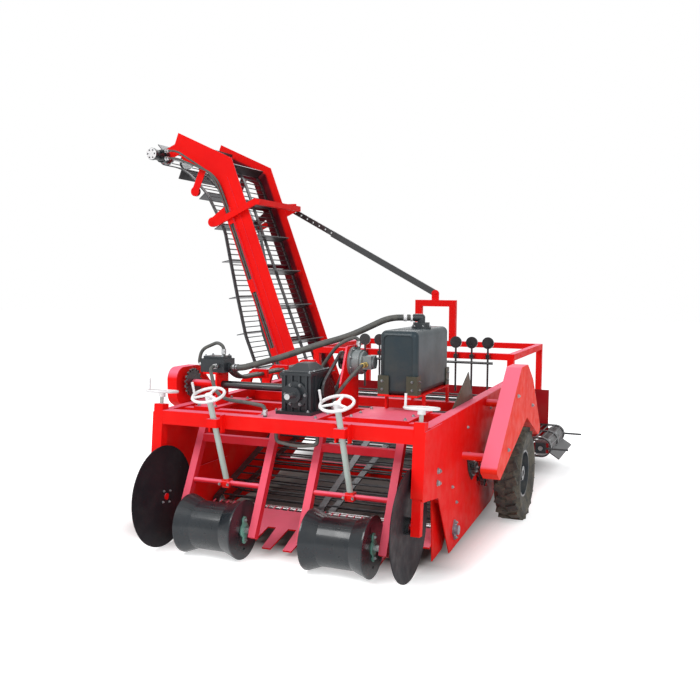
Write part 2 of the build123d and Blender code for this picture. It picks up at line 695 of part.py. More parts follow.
def wheels():
    right_tyre = tyre()
    right_rim = rim()
    node("tyre_right", right_tyre)
    node("rim_right", right_rim)
    node("tyre_left", mirror(right_tyre, about=Plane.YZ))
    node("rim_left", mirror(right_rim, about=Plane.YZ))
    stub = cross_rod((FRAME_HALF, TYRE_OUTER_X - 45), AXLE_Y, TYRE_RADIUS, AXLE_RADIUS)
    collar = cross_rod((FRAME_HALF, TYRE_INNER_X + 35), AXLE_Y, TYRE_RADIUS, AXLE_COLLAR_RADIUS)
    half = AXLE_PLATE_HALF
    plate = block((FRAME_HALF, FRAME_HALF + AXLE_PLATE), (AXLE_Y - half, AXLE_Y + half),
                  (TYRE_RADIUS - half, TYRE_RADIUS + half))
    node("axle", both(stub + collar + plate))
    node("axle", block((-RAIL_OUTER, RAIL_OUTER), (AXLE_Y - AXLE_TUBE / 2, AXLE_Y + AXLE_TUBE / 2),
                       (AXLE_TUBE_TOP - AXLE_TUBE, AXLE_TUBE_TOP)))


# Drive: gearbox, shafts and pumps

def decks():
    """Deck plates over the beams: middle, under the tank, and under the left pump."""
    for x in ((-190, 190), (TANK_LEFT - 103, RAIL_INNER - 100), (PUMP_X - 80, PUMP_X + 80)):
        front = FRONT_BEAM_BACK if x[0] == -190 else SECOND_BEAM_Y
        node("cross_beams", block(x, (front, DECK_REAR_Y), (BEAM_TOP, FRONT_BEAM_TOP)))


def gearbox():
    low = FRONT_BEAM_TOP
    half = GEARBOX_HALF
    case = block((-half - 20, half + 20), (GEARBOX_FRONT_Y - 40, GEARBOX_BACK_Y + 15), (low, low + 18))
    case = case + block((-half, half), (GEARBOX_FRONT_Y, GEARBOX_BACK_Y), (low, GEARBOX_TOP))
    case = case + block((-half - 8, half + 8), (GEARBOX_FRONT_Y - 8, GEARBOX_BACK_Y + 8),
                        (GEARBOX_TOP - 24, GEARBOX_TOP - 8))
    lid = Plane(origin=(0, (GEARBOX_FRONT_Y + GEARBOX_BACK_Y) / 2, GEARBOX_TOP)) * loft([
        Rectangle(150, 220).face(), Pos(0, 0, 42) * Rectangle(70, 110).face()])
    case = case + lid
    middle = (GEARBOX_FRONT_Y + GEARBOX_BACK_Y) / 2
    case = case + long_rod(0, (PTO_BACK_Y, GEARBOX_FRONT_Y), PTO_Z, 46)
    case = case + long_rod(0, (GEARBOX_FRONT_Y - 14, GEARBOX_FRONT_Y), PTO_Z, 78)
    for x in (-70, -24, 24, 70):
        rib_y = (GEARBOX_FRONT_Y - 12, GEARBOX_FRONT_Y)
        case = case + block((x - 5, x + 5), rib_y, (low + 18, GEARBOX_TOP - 24))
    for side in (-1, 1):
        for reach, radius in ((12, 80), (30, 56)):
            ends = sorted((side * half, side * (half + reach)))
            case = case + cross_rod(ends, CROSS_SHAFT_Y, CROSS_SHAFT_Z, radius)
        for y in (middle - 90, middle + 100):
            ends = sorted((side * half, side * (half + 12)))
            case = case + block(ends, (y - 5, y + 5), (low + 18, GEARBOX_TOP - 24))
    node("gearbox", case)
    node("pto_shaft", long_rod(0, (PTO_FRONT_Y, PTO_BACK_Y), PTO_Z, PTO_RADIUS))


def toothed(x, y, z, radius, teeth):
    """Chain wheel along X between the pair x."""
    depth = radius * 0.16
    wheel = cross_rod(x, y, z, radius - depth)
    tooth = Pos(0, 0, radius - depth / 2 - 1) * Box(x[1] - x[0], radius * 0.16, depth + 2)
    for i in range(teeth):
        wheel = wheel + Pos((x[0] + x[1]) / 2, y, z) * Rot(360 * i / teeth, 0, 0) * tooth
    return wheel


def chain_face(margin):
    """Outline round both chain wheels at a distance from them, in the plane of the chain's left side."""
    plane = Plane(origin=(CHAIN_X - CHAIN_WIDTH / 2, 0, 0), x_dir=(0, 1, 0), z_dir=(1, 0, 0))
    wheels = [
        Pos(CROSS_SHAFT_Y, CROSS_SHAFT_Z) * Circle(DRIVE_SPROCKET_RADIUS + margin),
        Pos(SECOND_PUMP_Y, SECOND_PUMP_Z) * Circle(PUMP_SPROCKET_RADIUS + margin),
    ]
    return plane * make_hull([edge for wheel in wheels for edge in wheel.edges()])


def drive():
    """Cross shaft to the left pump and the end sprocket, and the chain to the second pump."""
    bracket_x = PUMP_X + PUMP_HALF - 61
    boss = GEARBOX_HALF + 30
    shaft_x = (bracket_x + SPROCKET, -boss)
    node("drive_shaft", cross_rod(shaft_x, CROSS_SHAFT_Y, CROSS_SHAFT_Z, CROSS_SHAFT_RADIUS))
    node("pump_bracket", block((bracket_x, bracket_x + SPROCKET), (PUMP_FRONT_Y - 5, PUMP_BACK_Y + 5),
                                (FRONT_BEAM_TOP, PUMP_LOW)) +
         block((PUMP_X - PUMP_HALF + 20, bracket_x), (PUMP_FRONT_Y - 5, PUMP_BACK_Y + 5),
               (PUMP_LOW - SPROCKET, PUMP_LOW)) +
         cross_rod((END_SPROCKET_X + SPROCKET / 2, bracket_x), CROSS_SHAFT_Y, CROSS_SHAFT_Z, 22))
    ends = (END_SPROCKET_X - SPROCKET / 2, END_SPROCKET_X + SPROCKET / 2)
    node("drive_sprocket", toothed(ends, CROSS_SHAFT_Y, CROSS_SHAFT_Z, END_SPROCKET_RADIUS, 18))
    wheel = (CHAIN_X - SPROCKET / 2, CHAIN_X + SPROCKET / 2)
    node("drive_sprocket", cross_rod(wheel, CROSS_SHAFT_Y, CROSS_SHAFT_Z, DRIVE_SPROCKET_RADIUS))
    stub = cross_rod((wheel[0], SECOND_PUMP_FACE_X - SPROCKET), SECOND_PUMP_Y, SECOND_PUMP_Z, 18)
    node("drive_sprocket", stub + cross_rod(wheel, SECOND_PUMP_Y, SECOND_PUMP_Z, PUMP_SPROCKET_RADIUS))
    loop = extrude(chain_face(CHAIN_THICKNESS), CHAIN_WIDTH) - extrude(chain_face(SEAT), CHAIN_WIDTH)
    node("drive_chain", loop)


def pumps():
    body_x = (PUMP_X - PUMP_HALF, PUMP_X + PUMP_HALF)
    body = block(body_x, (PUMP_FRONT_Y, PUMP_BACK_Y), (PUMP_LOW, PUMP_TOP - 16))
    body = body + block((PUMP_X - PUMP_HALF + 14, PUMP_X + PUMP_HALF - 14),
                        (PUMP_FRONT_Y + 12, PUMP_BACK_Y - 12), (PUMP_TOP - 16, PUMP_TOP))
    body = body + cross_rod((PUMP_X + PUMP_HALF, PUMP_X + PUMP_HALF + 18), CROSS_SHAFT_Y, PUMP_LOW + 30, 30)
    node("oil_pump", body)
    face = SECOND_PUMP_FACE_X
    second = cross_rod((face, face + 16), SECOND_PUMP_Y, SECOND_PUMP_Z, 92)
    second = second + cross_rod((face + 16, face + 66), SECOND_PUMP_Y, SECOND_PUMP_Z, 76)
    second = second + cross_rod((face + 66, face + 82), SECOND_PUMP_Y, SECOND_PUMP_Z, 66)
    second = second + block((face + 82, face + 140), (SECOND_PUMP_Y - 48, SECOND_PUMP_Y + 48),
                            (SECOND_PUMP_Z - 40, SECOND_PUMP_Z + 40))
    second = second + cross_rod((face + 140, face + 150), SECOND_PUMP_Y, SECOND_PUMP_Z, 38)
    node("drive_pump", second)
    case = [(420, BEAM_TOP), (DECK_REAR_Y, BEAM_TOP), (DECK_REAR_Y, SECOND_PUMP_Z + 70),
            (DECK_REAR_Y - 40, SECOND_PUMP_Z + 100), (520, SECOND_PUMP_Z + 100), (420, CROSS_SHAFT_Z + 40)]
    plate = side_plate(case, face - SPROCKET, face)
    node("pump_bracket", plate)


def left_guard():
    line = FilletPolyline(*[(LEFT_GUARD_X, y, z) for y, z in LEFT_GUARD], radius=80, close=True)
    guard = extrude(Face(Wire(line)), LEFT_GUARD_WIDTH, dir=(-1, 0, 0))
    foot = block((LEFT_GUARD_X, -FRAME_HALF), (700, 760), (600, 660))
    node("left_chain_guard", guard + foot)


def suction_mouth(distance):
    """Point in front of the mouth of the elbow on the tank's cap."""
    cap_x = (TANK_LEFT + TANK_RIGHT) / 2 + 37
    reach = 50 + distance
    return (cap_x - 0.922 * reach, TANK_CAP_Y - 0.387 * reach, TANK_TOP + ELBOW_RISE)


def tank():
    """Tank with rounded edges and a raised front rim, its filler, shelf and corner brackets."""
    shell = block((TANK_LEFT, TANK_RIGHT), (TANK_FRONT_Y, TANK_BACK_Y), (TANK_LOW, TANK_TOP))
    shell = fillet(shell.edges(), TANK_EDGE)
    front = Plane(origin=((TANK_LEFT + TANK_RIGHT) / 2, TANK_FRONT_Y, (TANK_LOW + TANK_TOP) / 2),
                  x_dir=(1, 0, 0), z_dir=(0, -1, 0))
    width = TANK_RIGHT - TANK_LEFT - 2 * TANK_RIM
    height = TANK_TOP - TANK_LOW - 2 * TANK_RIM
    recess = extrude(front * RectangleRounded(width - 40, height - 40, TANK_EDGE - 8), -2 * TANK_RIM / 2)
    node("oil_tank", shell - recess)
    cap_x = (TANK_LEFT + TANK_RIGHT) / 2 + 37
    knee = (cap_x, TANK_CAP_Y, TANK_TOP + ELBOW_RISE)
    node("tank_cap", Pos(cap_x, TANK_CAP_Y, TANK_TOP + 6) * Cylinder(TANK_CAP_RADIUS + 10, 12) +
         Pos(cap_x, TANK_CAP_Y, TANK_TOP + 24) * Cylinder(TANK_CAP_RADIUS, 26) +
         rod((cap_x, TANK_CAP_Y, TANK_TOP + 30), knee, 24) + Pos(*knee) * Sphere(24) +
         rod(knee, suction_mouth(0), 24))
    shelf_top = TANK_LOW
    support = block((TANK_LEFT - PLATE, TANK_RIGHT + PLATE), (TANK_FRONT_Y - PLATE, TANK_BACK_Y + PLATE),
                    (shelf_top - TANK_SHELF, shelf_top))
    for x, inward in ((TANK_LEFT - PLATE, 1), (TANK_RIGHT + PLATE, -1)):
        for y, back in ((TANK_FRONT_Y - PLATE, 1), (TANK_BACK_Y + PLATE, -1)):
            z = (shelf_top, shelf_top + TANK_CORNER_HEIGHT)
            support = support + block(sorted((x, x + inward * PLATE)), sorted((y, y + back * 70)), z)
            support = support + block(sorted((x, x + inward * 70)), sorted((y, y + back * PLATE)), z)
        for y, foot in ((THIRD_BEAM_Y + 10, FRONT_BEAM_TOP), (REAR_BEAM_Y + 5, BEAM_TOP)):
            leg_x = sorted((x, x + inward * 12))
            support = support + block(leg_x, (y, y + 40), (foot, shelf_top - TANK_SHELF))
    node("tank_support", support)


# Chain guard over the right wheel, and the tensioner in front of it

def right_guard():
    line = FilletPolyline(*[(RIGHT_GUARD_X, y, z) for y, z in RIGHT_GUARD], radius=30, close=True)
    node("right_chain_guard", extrude(Face(Wire(line)), RIGHT_GUARD_WIDTH, dir=(1, 0, 0)))
    for y, z in RIGHT_GUARD_POSTS:
        node("right_chain_guard", cross_rod((FRAME_HALF, RIGHT_GUARD_X), y, z, GUARD_POST_RADIUS))
    weld("right_chain_guard")
    (y0, z0, _), (y1, z1, _) = TENSIONER_WHEELS
    arm = bar((TENSIONER_X - 4, y0, z0), (TENSIONER_X - 4, y1, z1), 8, 44)
    for y, z, radius in TENSIONER_WHEELS:
        arm = arm + cross_rod((TENSIONER_X, TENSIONER_X + 22), y, z, radius)
        arm = arm + cross_rod((FRAME_HALF, TENSIONER_X), y, z, 14)
    node("chain_tensioner", arm)


# Rear frame, its haulm fingers and the gantry

def rear_frame():
    low = REAR_FRAME_TOP - REAR_TUBE
    front = (SIDE_REAR_Y - REAR_TUBE, SIDE_REAR_Y)
    back = (REAR_FRAME_BACK_Y, REAR_FRAME_BACK_Y + REAR_TUBE)
    level = (low, REAR_FRAME_TOP)
    outer = (FRAME_HALF - REAR_TUBE, FRAME_HALF)
    across = (-FRAME_HALF, FRAME_HALF)
    node("rear_frame", block(across, front, level), block(across, back, level))
    node("rear_frame", both(block(outer, (front[1], back[0]), level)))
    node("rear_frame", both(block((outer[0] - PLATE, outer[1] - PLATE), front, (RAIL_REAR_TOP, low))))
    node("rear_frame", both(block(outer, back, (TROUGH_BOTTOM, low))))
    weld("rear_frame")
    panel = block((RAIL_OUTER, FRAME_HALF), (SIDE_REAR_Y, ELEVATOR_NEAR_Y), (420, 700))
    node("rear_side_panels", both(panel))


def haulm_fingers():
    """Row of hanging rods, each with a round weight on top, on a bar under the rear frame's front beam."""
    beam_face = SIDE_REAR_Y - REAR_TUBE
    last_x = FINGER_ROW_FIRST_X + FINGER_ROW_STEP * (FINGER_ROW_COUNT - 1)
    row = cross_rod((FINGER_ROW_FIRST_X - 40, last_x + 40), FINGER_ROW_Y, FINGER_BAR_Z, FINGER_BAR_RADIUS)
    for i in range(FINGER_ROW_COUNT):
        x = FINGER_ROW_FIRST_X + i * FINGER_ROW_STEP
        finger = rod((x, FINGER_ROW_Y, FINGER_BOTTOM_Z), (x, FINGER_ROW_Y, FINGER_TOP_Z), FINGER_ROD_RADIUS)
        finger = finger + long_rod(x, (FINGER_ROW_Y - 8, FINGER_ROW_Y + 8), FINGER_TOP_Z, FINGER_DISC_RADIUS)
        row = row + finger + block((x - 15, x + 15), (FINGER_ROW_Y - 14, beam_face), (1008, 1040))
    node("haulm_fingers", row)


def gantry():
    y = (REAR_FRAME_BACK_Y - 5, REAR_FRAME_BACK_Y + GANTRY_TUBE - 5)
    for left in (GANTRY_LEFT, GANTRY_RIGHT - GANTRY_TUBE):
        node("gantry", block((left, left + GANTRY_TUBE), y, (REAR_FRAME_TOP, GANTRY_TOP - GANTRY_TUBE)))
    node("gantry", block((GANTRY_LEFT, GANTRY_RIGHT), y, (GANTRY_TOP - GANTRY_TUBE, GANTRY_TOP)))
    lug_x, lug_z = BRACE_LUG
    face = BRACE_Y - BRACE_BAR / 2
    node("gantry", block((lug_x - 35, lug_x + 35), (face - 12, face), (GANTRY_TOP, lug_z)),
         long_rod(lug_x, (face - 12, face), lug_z, 35),
         long_rod(lug_x, (face - 20, BRACE_Y + 34), lug_z, BRACE_PIN_RADIUS))
    weld("gantry")


# Elevator trough, with the web that runs through it

def trough():
    left = ELBOW_X
    outline = [
        (TROUGH_RIGHT, TROUGH_TOP), (TROUGH_RIGHT, TROUGH_BOTTOM), (left - 60, TROUGH_BOTTOM),
        (left - 110, ELBOW_Z), (left - 60, ELBOW_Z + 110), (left + 90, TROUGH_TOP),
    ]
    near_y, far_y = ELEVATOR_NEAR_Y, ELEVATOR_FAR_Y
    node("trough_plates", cross_plate(outline, near_y, near_y + PLATE))
    node("trough_plates", cross_plate(outline, far_y - PLATE, far_y))
    node("trough_plates", long_rod(ELBOW_X, (near_y - 40, near_y), ELBOW_Z, ELBOW_PIN_RADIUS))
    node("trough_plates", long_rod(ELBOW_X, (far_y, far_y + 30), ELBOW_Z, ELBOW_PIN_RADIUS))
    for x in (-RAIL_OUTER, 0, RAIL_OUTER):
        node("trough_plates", block((x - 20, x + 20), (near_y + PLATE, far_y - PLATE), (TAIL_Z - 20, TAIL_Z)))
    for y in (near_y, far_y - PLATE):
        arm = block((TROUGH_RIGHT, TAIL_X + 60), (y, y + PLATE), (TAIL_Z - 40, TAIL_Z + 40))
        node("trough_plates", arm - long_rod(TAIL_X, (y - 1, y + PLATE + 1), TAIL_Z, END_SHAFT_RADIUS + SEAT))
    weld("trough_plates")


WEB_NEAR_Y = ELEVATOR_NEAR_Y + PLATE + MOVE
WEB_FAR_Y = ELEVATOR_FAR_Y - PLATE - MOVE
# A web bends a hair tighter than its shaft, and a corner counts as square within this many mm squared
SHAFT_BEND = TURN - 0.1
RIGHT_ANGLE = 1.0


def belt_middles():
    """Y of the middle of each of the elevator's belts."""
    return [WEB_NEAR_Y + BELT_WIDTH / 2, (WEB_NEAR_Y + WEB_FAR_Y) / 2, WEB_FAR_Y - BELT_WIDTH / 2]


def elevator_web(points, flights_at):
    """Belts, rods and flights along an open line of (x, z) points, close to the shafts at right angles."""
    radii = []
    for widest, before, at, after in zip(bend_radii(points), points, points[1:], points[2:]):
        square = math.dist(before, after) ** 2 - math.dist(before, at) ** 2 - math.dist(at, after) ** 2
        radii.append(SHAFT_BEND if abs(square) < RIGHT_ANGLE else min(widest, SLACK_RADIUS))
    line = FilletPolyline(*points, radius=radii)
    wire = Wire(line)
    web = Part()
    for middle in belt_middles():
        path = Wire(FilletPolyline(*[(x, middle, z) for x, z in points], radius=radii))
        plane = Plane(origin=path @ 0, x_dir=(0, 1, 0), z_dir=path % 0)
        web = web + sweep(plane * Rectangle(BELT_WIDTH, BELT_THICKNESS), path=path)
    rods = []
    for i in range(int(wire.length / ELEVATOR_PITCH)):
        at = wire.position_at((i * ELEVATOR_PITCH + ELEVATOR_ROD_RADIUS) / wire.length)
        plane = Plane(origin=(at.X, WEB_NEAR_Y, at.Y), z_dir=(0, 1, 0))
        section = plane * RegularPolygon(ELEVATOR_ROD_RADIUS, 6)
        rods.append(extrude(section, WEB_FAR_Y - WEB_NEAR_Y, dir=(0, 1, 0)))
    near, far = WEB_NEAR_Y + FLIGHT_INSET, WEB_FAR_Y - FLIGHT_INSET
    blades = []
    distance = flights_at
    while distance < wire.length:
        at = wire.position_at(distance / wire.length)
        along = wire.tangent_at(distance / wire.length)
        plane = Plane(origin=(at.X, near, at.Y), x_dir=(-along.Y, 0, along.X), z_dir=(0, 1, 0))
        blades.append(plane * Box(FLIGHT_HEIGHT, FLIGHT_THICKNESS, far - near,
                                  align=(Align.MIN, Align.CENTER, Align.MIN)))
        distance += FLIGHT_PITCH
    return web + rods + blades


def end_shaft(x, z, y):
    """Shaft along Y between the pair y, with a roller under each belt of the web."""
    shaft = long_rod(x, y, z, END_SHAFT_RADIUS)
    for middle in belt_middles():
        shaft = shaft + long_rod(x, (middle - BELT_ROLLER_HALF, middle + BELT_ROLLER_HALF), z,
                                 TURN - BELT_THICKNESS / 2 - SEAT)
    return shaft


def from_elbow(offset_xz):
    """Place in the machine of an (x, z) offset from the elbow pin."""
    return (ELBOW_X + offset_xz[0], ELBOW_Z + offset_xz[1])


def trough_web():
    end = TAIL_X + TURN
    line = [
        (ELBOW_X + 60, TAIL_Z + TURN), (end, TAIL_Z + TURN),
        (end, TAIL_Z - TURN), (ELBOW_X - 90, TAIL_Z - TURN),
    ]
    node("trough_web", elevator_web(line, 120))
    node("tail_shaft", end_shaft(TAIL_X, TAIL_Z, (ELEVATOR_NEAR_Y - 30, ELEVATOR_FAR_Y + 30)))
    for y in (ELEVATOR_NEAR_Y - 22, ELEVATOR_FAR_Y + 4):
        housing = block((TAIL_X - 42, TAIL_X + 42), (y, y + 18), (TAIL_Z - 42, TAIL_Z + 42))
        housing = housing - long_rod(TAIL_X, (y - 1, y + 19), TAIL_Z, END_SHAFT_RADIUS + SEAT)
        node("tail_bearings", housing + cross_rod((TAIL_X + 42, TAIL_X + 220), y + 9, TAIL_Z, 8))


# Boom: it tilts on the elbow pins

# The returning web, as (x, z) offsets from the elbow pin
WEB_RETURN = [
    (-330, 0), (-546, 490), (-652, 758), (-736, 1112),
    (-809, 1447), (-871, 1746), (-1060, 2090), (-1300, 2330),
]

BOOM_NEAR_Y = ELEVATOR_NEAR_Y - BOOM_GAP - BOOM_PLATE
BOOM_FAR_Y = ELEVATOR_FAR_Y + BOOM_GAP
BOOM_RUN = math.dist(BOOM_FOOT_RIGHT, BOOM_BEND_OUT)
BOOM_UP = (
    (BOOM_BEND_OUT[0] - BOOM_FOOT_RIGHT[0]) / BOOM_RUN,
    (BOOM_BEND_OUT[1] - BOOM_FOOT_RIGHT[1]) / BOOM_RUN,
)


def on_boom(up, across):
    """Place on the boom's plate: a distance up it from the foot, and one across it from the right edge."""
    x, z = from_elbow(BOOM_FOOT_RIGHT)
    return (x + up * BOOM_UP[0] - across * BOOM_UP[1], z + up * BOOM_UP[1] + across * BOOM_UP[0])


def boom_strip(up, across, height):
    """Flat bar on the boom's near plate, between the pairs up and across, proud by its height."""
    corners = [
        on_boom(up[0], across[0]), on_boom(up[1], across[0]),
        on_boom(up[1], across[1]), on_boom(up[0], across[1]),
    ]
    return cross_plate(corners, BOOM_NEAR_Y - height, BOOM_NEAR_Y)


HOSE_CHANNEL = (172.0, 226.0)
HOSE_STRAPS = [(560.0, 680.0), (1225.0, 1345.0), (1895.0, 2000.0)]
CHANNEL_DEPTH = 26.0
CHANNEL_LOW = 330.0
CHANNEL_TOP = 2050.0
BOOM_HOSE_RADIUS = 9.0
HOSE_DEPTH = 13.0
MOTOR_PORT_X = 70.0
MOTOR_PORT_Y = 110.0
MOTOR_PORT_Z = 34.0


def boom():
    """Two plates with ties, a stiffening rib and a hose channel with straps across it."""
    outline = [from_elbow(point) for point in BOOM_OUTLINE]
    bore = ELBOW_PIN_RADIUS + RUN
    for y in (BOOM_NEAR_Y, BOOM_FAR_Y):
        plate = cross_plate(outline, y, y + BOOM_PLATE)
        node("boom_plates", plate - long_rod(ELBOW_X, (y - 1, y + BOOM_PLATE + 1), ELBOW_Z, bore))
    for share in BOOM_TIES:
        x, z = on_boom(BOOM_RUN * share, 190)
        node("boom_plates", long_rod(x, (BOOM_NEAR_Y + BOOM_PLATE, BOOM_FAR_Y), z, 20))
    node("boom_plates", boom_strip((180, 2320), (98, 144), 9))
    for edge in HOSE_CHANNEL:
        node("boom_plates", boom_strip((CHANNEL_LOW, CHANNEL_TOP), (edge - 3, edge + 3), CHANNEL_DEPTH))
    for up in HOSE_STRAPS:
        cover = boom_strip(up, (HOSE_CHANNEL[0] - 3, HOSE_CHANNEL[1] + 3), CHANNEL_DEPTH + 4)
        inside = boom_strip((up[0] - 1, up[1] + 1), (HOSE_CHANNEL[0] + 3, HOSE_CHANNEL[1] - 3), CHANNEL_DEPTH)
        node("boom_plates", cover - inside)
    for roller_at, hang_at in RETURN_ROLLERS:
        start = from_elbow(roller_at)
        end = from_elbow(hang_at)
        for y in (BOOM_NEAR_Y + BOOM_PLATE / 2, BOOM_FAR_Y + BOOM_PLATE / 2):
            node("boom_plates", bar((start[0], y, start[1]), (end[0], y, end[1]), 70, BOOM_PLATE,
                                    across=(end[1] - start[1], 0, start[0] - end[0])))
        node("boom_plates", long_rod(start[0], (BOOM_NEAR_Y, BOOM_NEAR_Y + BOOM_PLATE + 24), start[1],
                                     RETURN_ROLLER_RADIUS))
        node("boom_plates", long_rod(start[0], (BOOM_FAR_Y - 24, BOOM_FAR_Y + BOOM_PLATE), start[1],
                                     RETURN_ROLLER_RADIUS))


def boom_web():
    """Web from the elbow up to the head, round its shaft, and hanging back down."""
    shaft_x, shaft_z = from_elbow(HEAD_SHAFT)
    cos, sin = math.cos(math.radians(HEAD_ANGLE)), math.sin(math.radians(HEAD_ANGLE))
    top = (shaft_x - TURN * cos + TURN * sin, shaft_z + TURN * sin + TURN * cos)
    low = (shaft_x - TURN * cos - TURN * sin, shaft_z + TURN * sin - TURN * cos)
    hanging = [from_elbow(point) for point in WEB_RETURN]
    line = hanging + [
        low, top, (top[0] + HEAD_RUN * cos, top[1] - HEAD_RUN * sin),
        from_elbow((2, 42)),
    ]
    node("boom_web", elevator_web(line, 150))
    foot = from_elbow(HEAD_BRACKET_FOOT)
    for y in (BOOM_NEAR_Y + BOOM_PLATE / 2, BOOM_FAR_Y + BOOM_PLATE / 2):
        node("boom_plates", bar((shaft_x - 45, y, shaft_z - 12), (foot[0], y, foot[1]), 110, BOOM_PLATE,
                                across=(foot[1] - shaft_z, 0, shaft_x - foot[0])))
    weld("boom_plates")
    node("boom_shaft", end_shaft(shaft_x, shaft_z, (BOOM_NEAR_Y + BOOM_PLATE, BOOM_FAR_Y)))
    motor = long_rod(shaft_x, (BOOM_NEAR_Y - 60, BOOM_NEAR_Y), shaft_z, 62)
    motor = motor + long_rod(shaft_x, (BOOM_NEAR_Y - 190, BOOM_NEAR_Y - 60), shaft_z, 48)
    motor = motor + long_rod(shaft_x, (BOOM_NEAR_Y - 215, BOOM_NEAR_Y - 190), shaft_z, 56)
    for z in (shaft_z - MOTOR_PORT_Z, shaft_z + MOTOR_PORT_Z):
        motor = motor + cross_rod((shaft_x, shaft_x + MOTOR_PORT_X), BOOM_NEAR_Y - MOTOR_PORT_Y, z, 16)
    node("boom_motor", motor)


def boom_hoses():
    """Pair of hoses from the motor's ports, bending over the head and down the channel to its foot."""
    shaft_x, shaft_z = from_elbow(HEAD_SHAFT)
    port_y = BOOM_NEAR_Y - MOTOR_PORT_Y
    for port_z, across in ((MOTOR_PORT_Z, 211.0), (-MOTOR_PORT_Z, 187.0)):
        z = shaft_z + port_z
        bend = on_boom(CHANNEL_TOP + 330, across)
        entry = on_boom(CHANNEL_TOP + 70, across)
        foot = on_boom(CHANNEL_LOW + 15, across)
        start = shaft_x + MOTOR_PORT_X + SEAT
        node("boom_hoses", hose([
            (start, port_y, z), (start + 130, port_y, z), (bend[0], BOOM_NEAR_Y - 45, bend[1]),
            (entry[0], BOOM_NEAR_Y - HOSE_DEPTH, entry[1]), (foot[0], BOOM_NEAR_Y - HOSE_DEPTH, foot[1]),
        ], BOOM_HOSE_RADIUS))


def boom_clamp():
    """Bars round the boom, with the ear that takes the brace's upper end."""
    low, high = from_elbow(CLAMP_LOW), from_elbow(CLAMP_HIGH)
    rise = CLAMP_BAR
    outline = [low, high, (high[0] - 20, high[1] + rise), (low[0] - 20, low[1] + rise)]
    far_face = BOOM_FAR_Y + BOOM_PLATE
    front = BOOM_NEAR_Y - CHANNEL_DEPTH - 4
    clamp = cross_plate(outline, front - 30, front)
    clamp = clamp + cross_plate(outline, far_face, far_face + 18)
    clamp = clamp + block((high[0] - 25, high[0] + 25), (front - 30, far_face + 18),
                          (high[1] - 10, high[1] + 40))
    pin_x, pin_z = from_elbow(BRACE_PIN_OFFSET)
    clamp = clamp + block((pin_x - 40, high[0] - 30), (far_face + 10, BRACE_Y - BRACE_BAR / 2 - SEAT),
                          (pin_z - 40, pin_z + 40))
    node("boom_clamp", clamp)


# Telescopic brace from the gantry to the boom

def brace():
    pin_x, pin_z = from_elbow(BRACE_PIN_OFFSET)
    pin = Vector(pin_x, BRACE_Y, pin_z)
    lug = Vector(BRACE_LUG[0], BRACE_Y, BRACE_LUG[1])
    along = (pin - lug).normalized()
    length = (pin - lug).length
    half = BRACE_BAR / 2
    flat = (0, 1, 0)
    lower = bar(tuple(lug), tuple(lug + along * (length * 0.69)), BRACE_BAR, BRACE_LOWER_HEIGHT, across=flat)
    lower = lower + long_rod(lug.X, (BRACE_Y - half, BRACE_Y + half), lug.Z, BRACE_LOWER_HEIGHT / 2)
    lower = lower - long_rod(lug.X, (BRACE_Y - half - 1, BRACE_Y + half + 1), lug.Z, BRACE_PIN_RADIUS + RUN)
    lift = Vector(0, BRACE_BAR + SEAT, 0)
    near, far = BRACE_Y + half + SEAT, BRACE_Y + half + SEAT + BRACE_BAR
    upper = bar(tuple(lug + along * (length * 0.35) + lift), tuple(pin + lift), BRACE_BAR, BRACE_UPPER_HEIGHT,
                across=flat)
    upper = upper + long_rod(pin.X, (near, far), pin.Z, BRACE_LOWER_HEIGHT / 2)
    for i in range(BRACE_HOLES):
        at = pin - along * (80 + i * BRACE_HOLE_STEP)
        upper = upper - long_rod(at.X, (near - 1, far + 1), at.Z, BRACE_HOLE_RADIUS)
    upper = upper + long_rod(pin.X, (BRACE_Y - half, near), pin.Z, BRACE_PIN_RADIUS)
    node("brace_lower", lower)
    node("brace_upper", upper)


def pipes():
    """Two pipes from the back of the left pump along the left rail, held by yokes."""
    for x in PIPE_XS:
        node("oil_hoses", hose([
            (x, PUMP_BACK_Y + SEAT, PUMP_LOW + 40), (x, PUMP_BACK_Y + 110, PUMP_LOW + 40),
            (x, PUMP_BACK_Y + 270, PIPE_Z), (x, PIPE_END_Y, PIPE_Z),
        ], PIPE_RADIUS))
        node("pipe_yokes", long_rod(x, (PIPE_END_Y + SEAT, PIPE_END_Y + 40), PIPE_Z, PIPE_RADIUS + 3))
    for y in YOKES_Y:
        foot = rail_top(y + 15) + 0.05
        arm = [
            (-RAIL_OUTER, foot), (-RAIL_INNER, foot),
            (-RAIL_INNER + 25, PIPE_Z - 40), (PIPE_XS[1] + 32, PIPE_Z - 30),
            (PIPE_XS[1] + 32, PIPE_Z + 30), (PIPE_XS[0] - 45, PIPE_Z + 30), (-RAIL_OUTER, foot + 60),
        ]
        yoke = cross_plate(arm, y - 15, y + 15)
        for x in PIPE_XS:
            yoke = yoke - long_rod(x, (y - 16, y + 16), PIPE_Z, PIPE_RADIUS + SEAT)
        node("pipe_yokes", yoke)
    last = YOKES_Y[-1] + 15
    node("pipe_yokes", block((PIPE_XS[0] - 10, PIPE_XS[1] + 10), (last, PIPE_END_Y + 30),
                             (PIPE_Z - 24, PIPE_Z - 14)))
    weld("pipe_yokes")


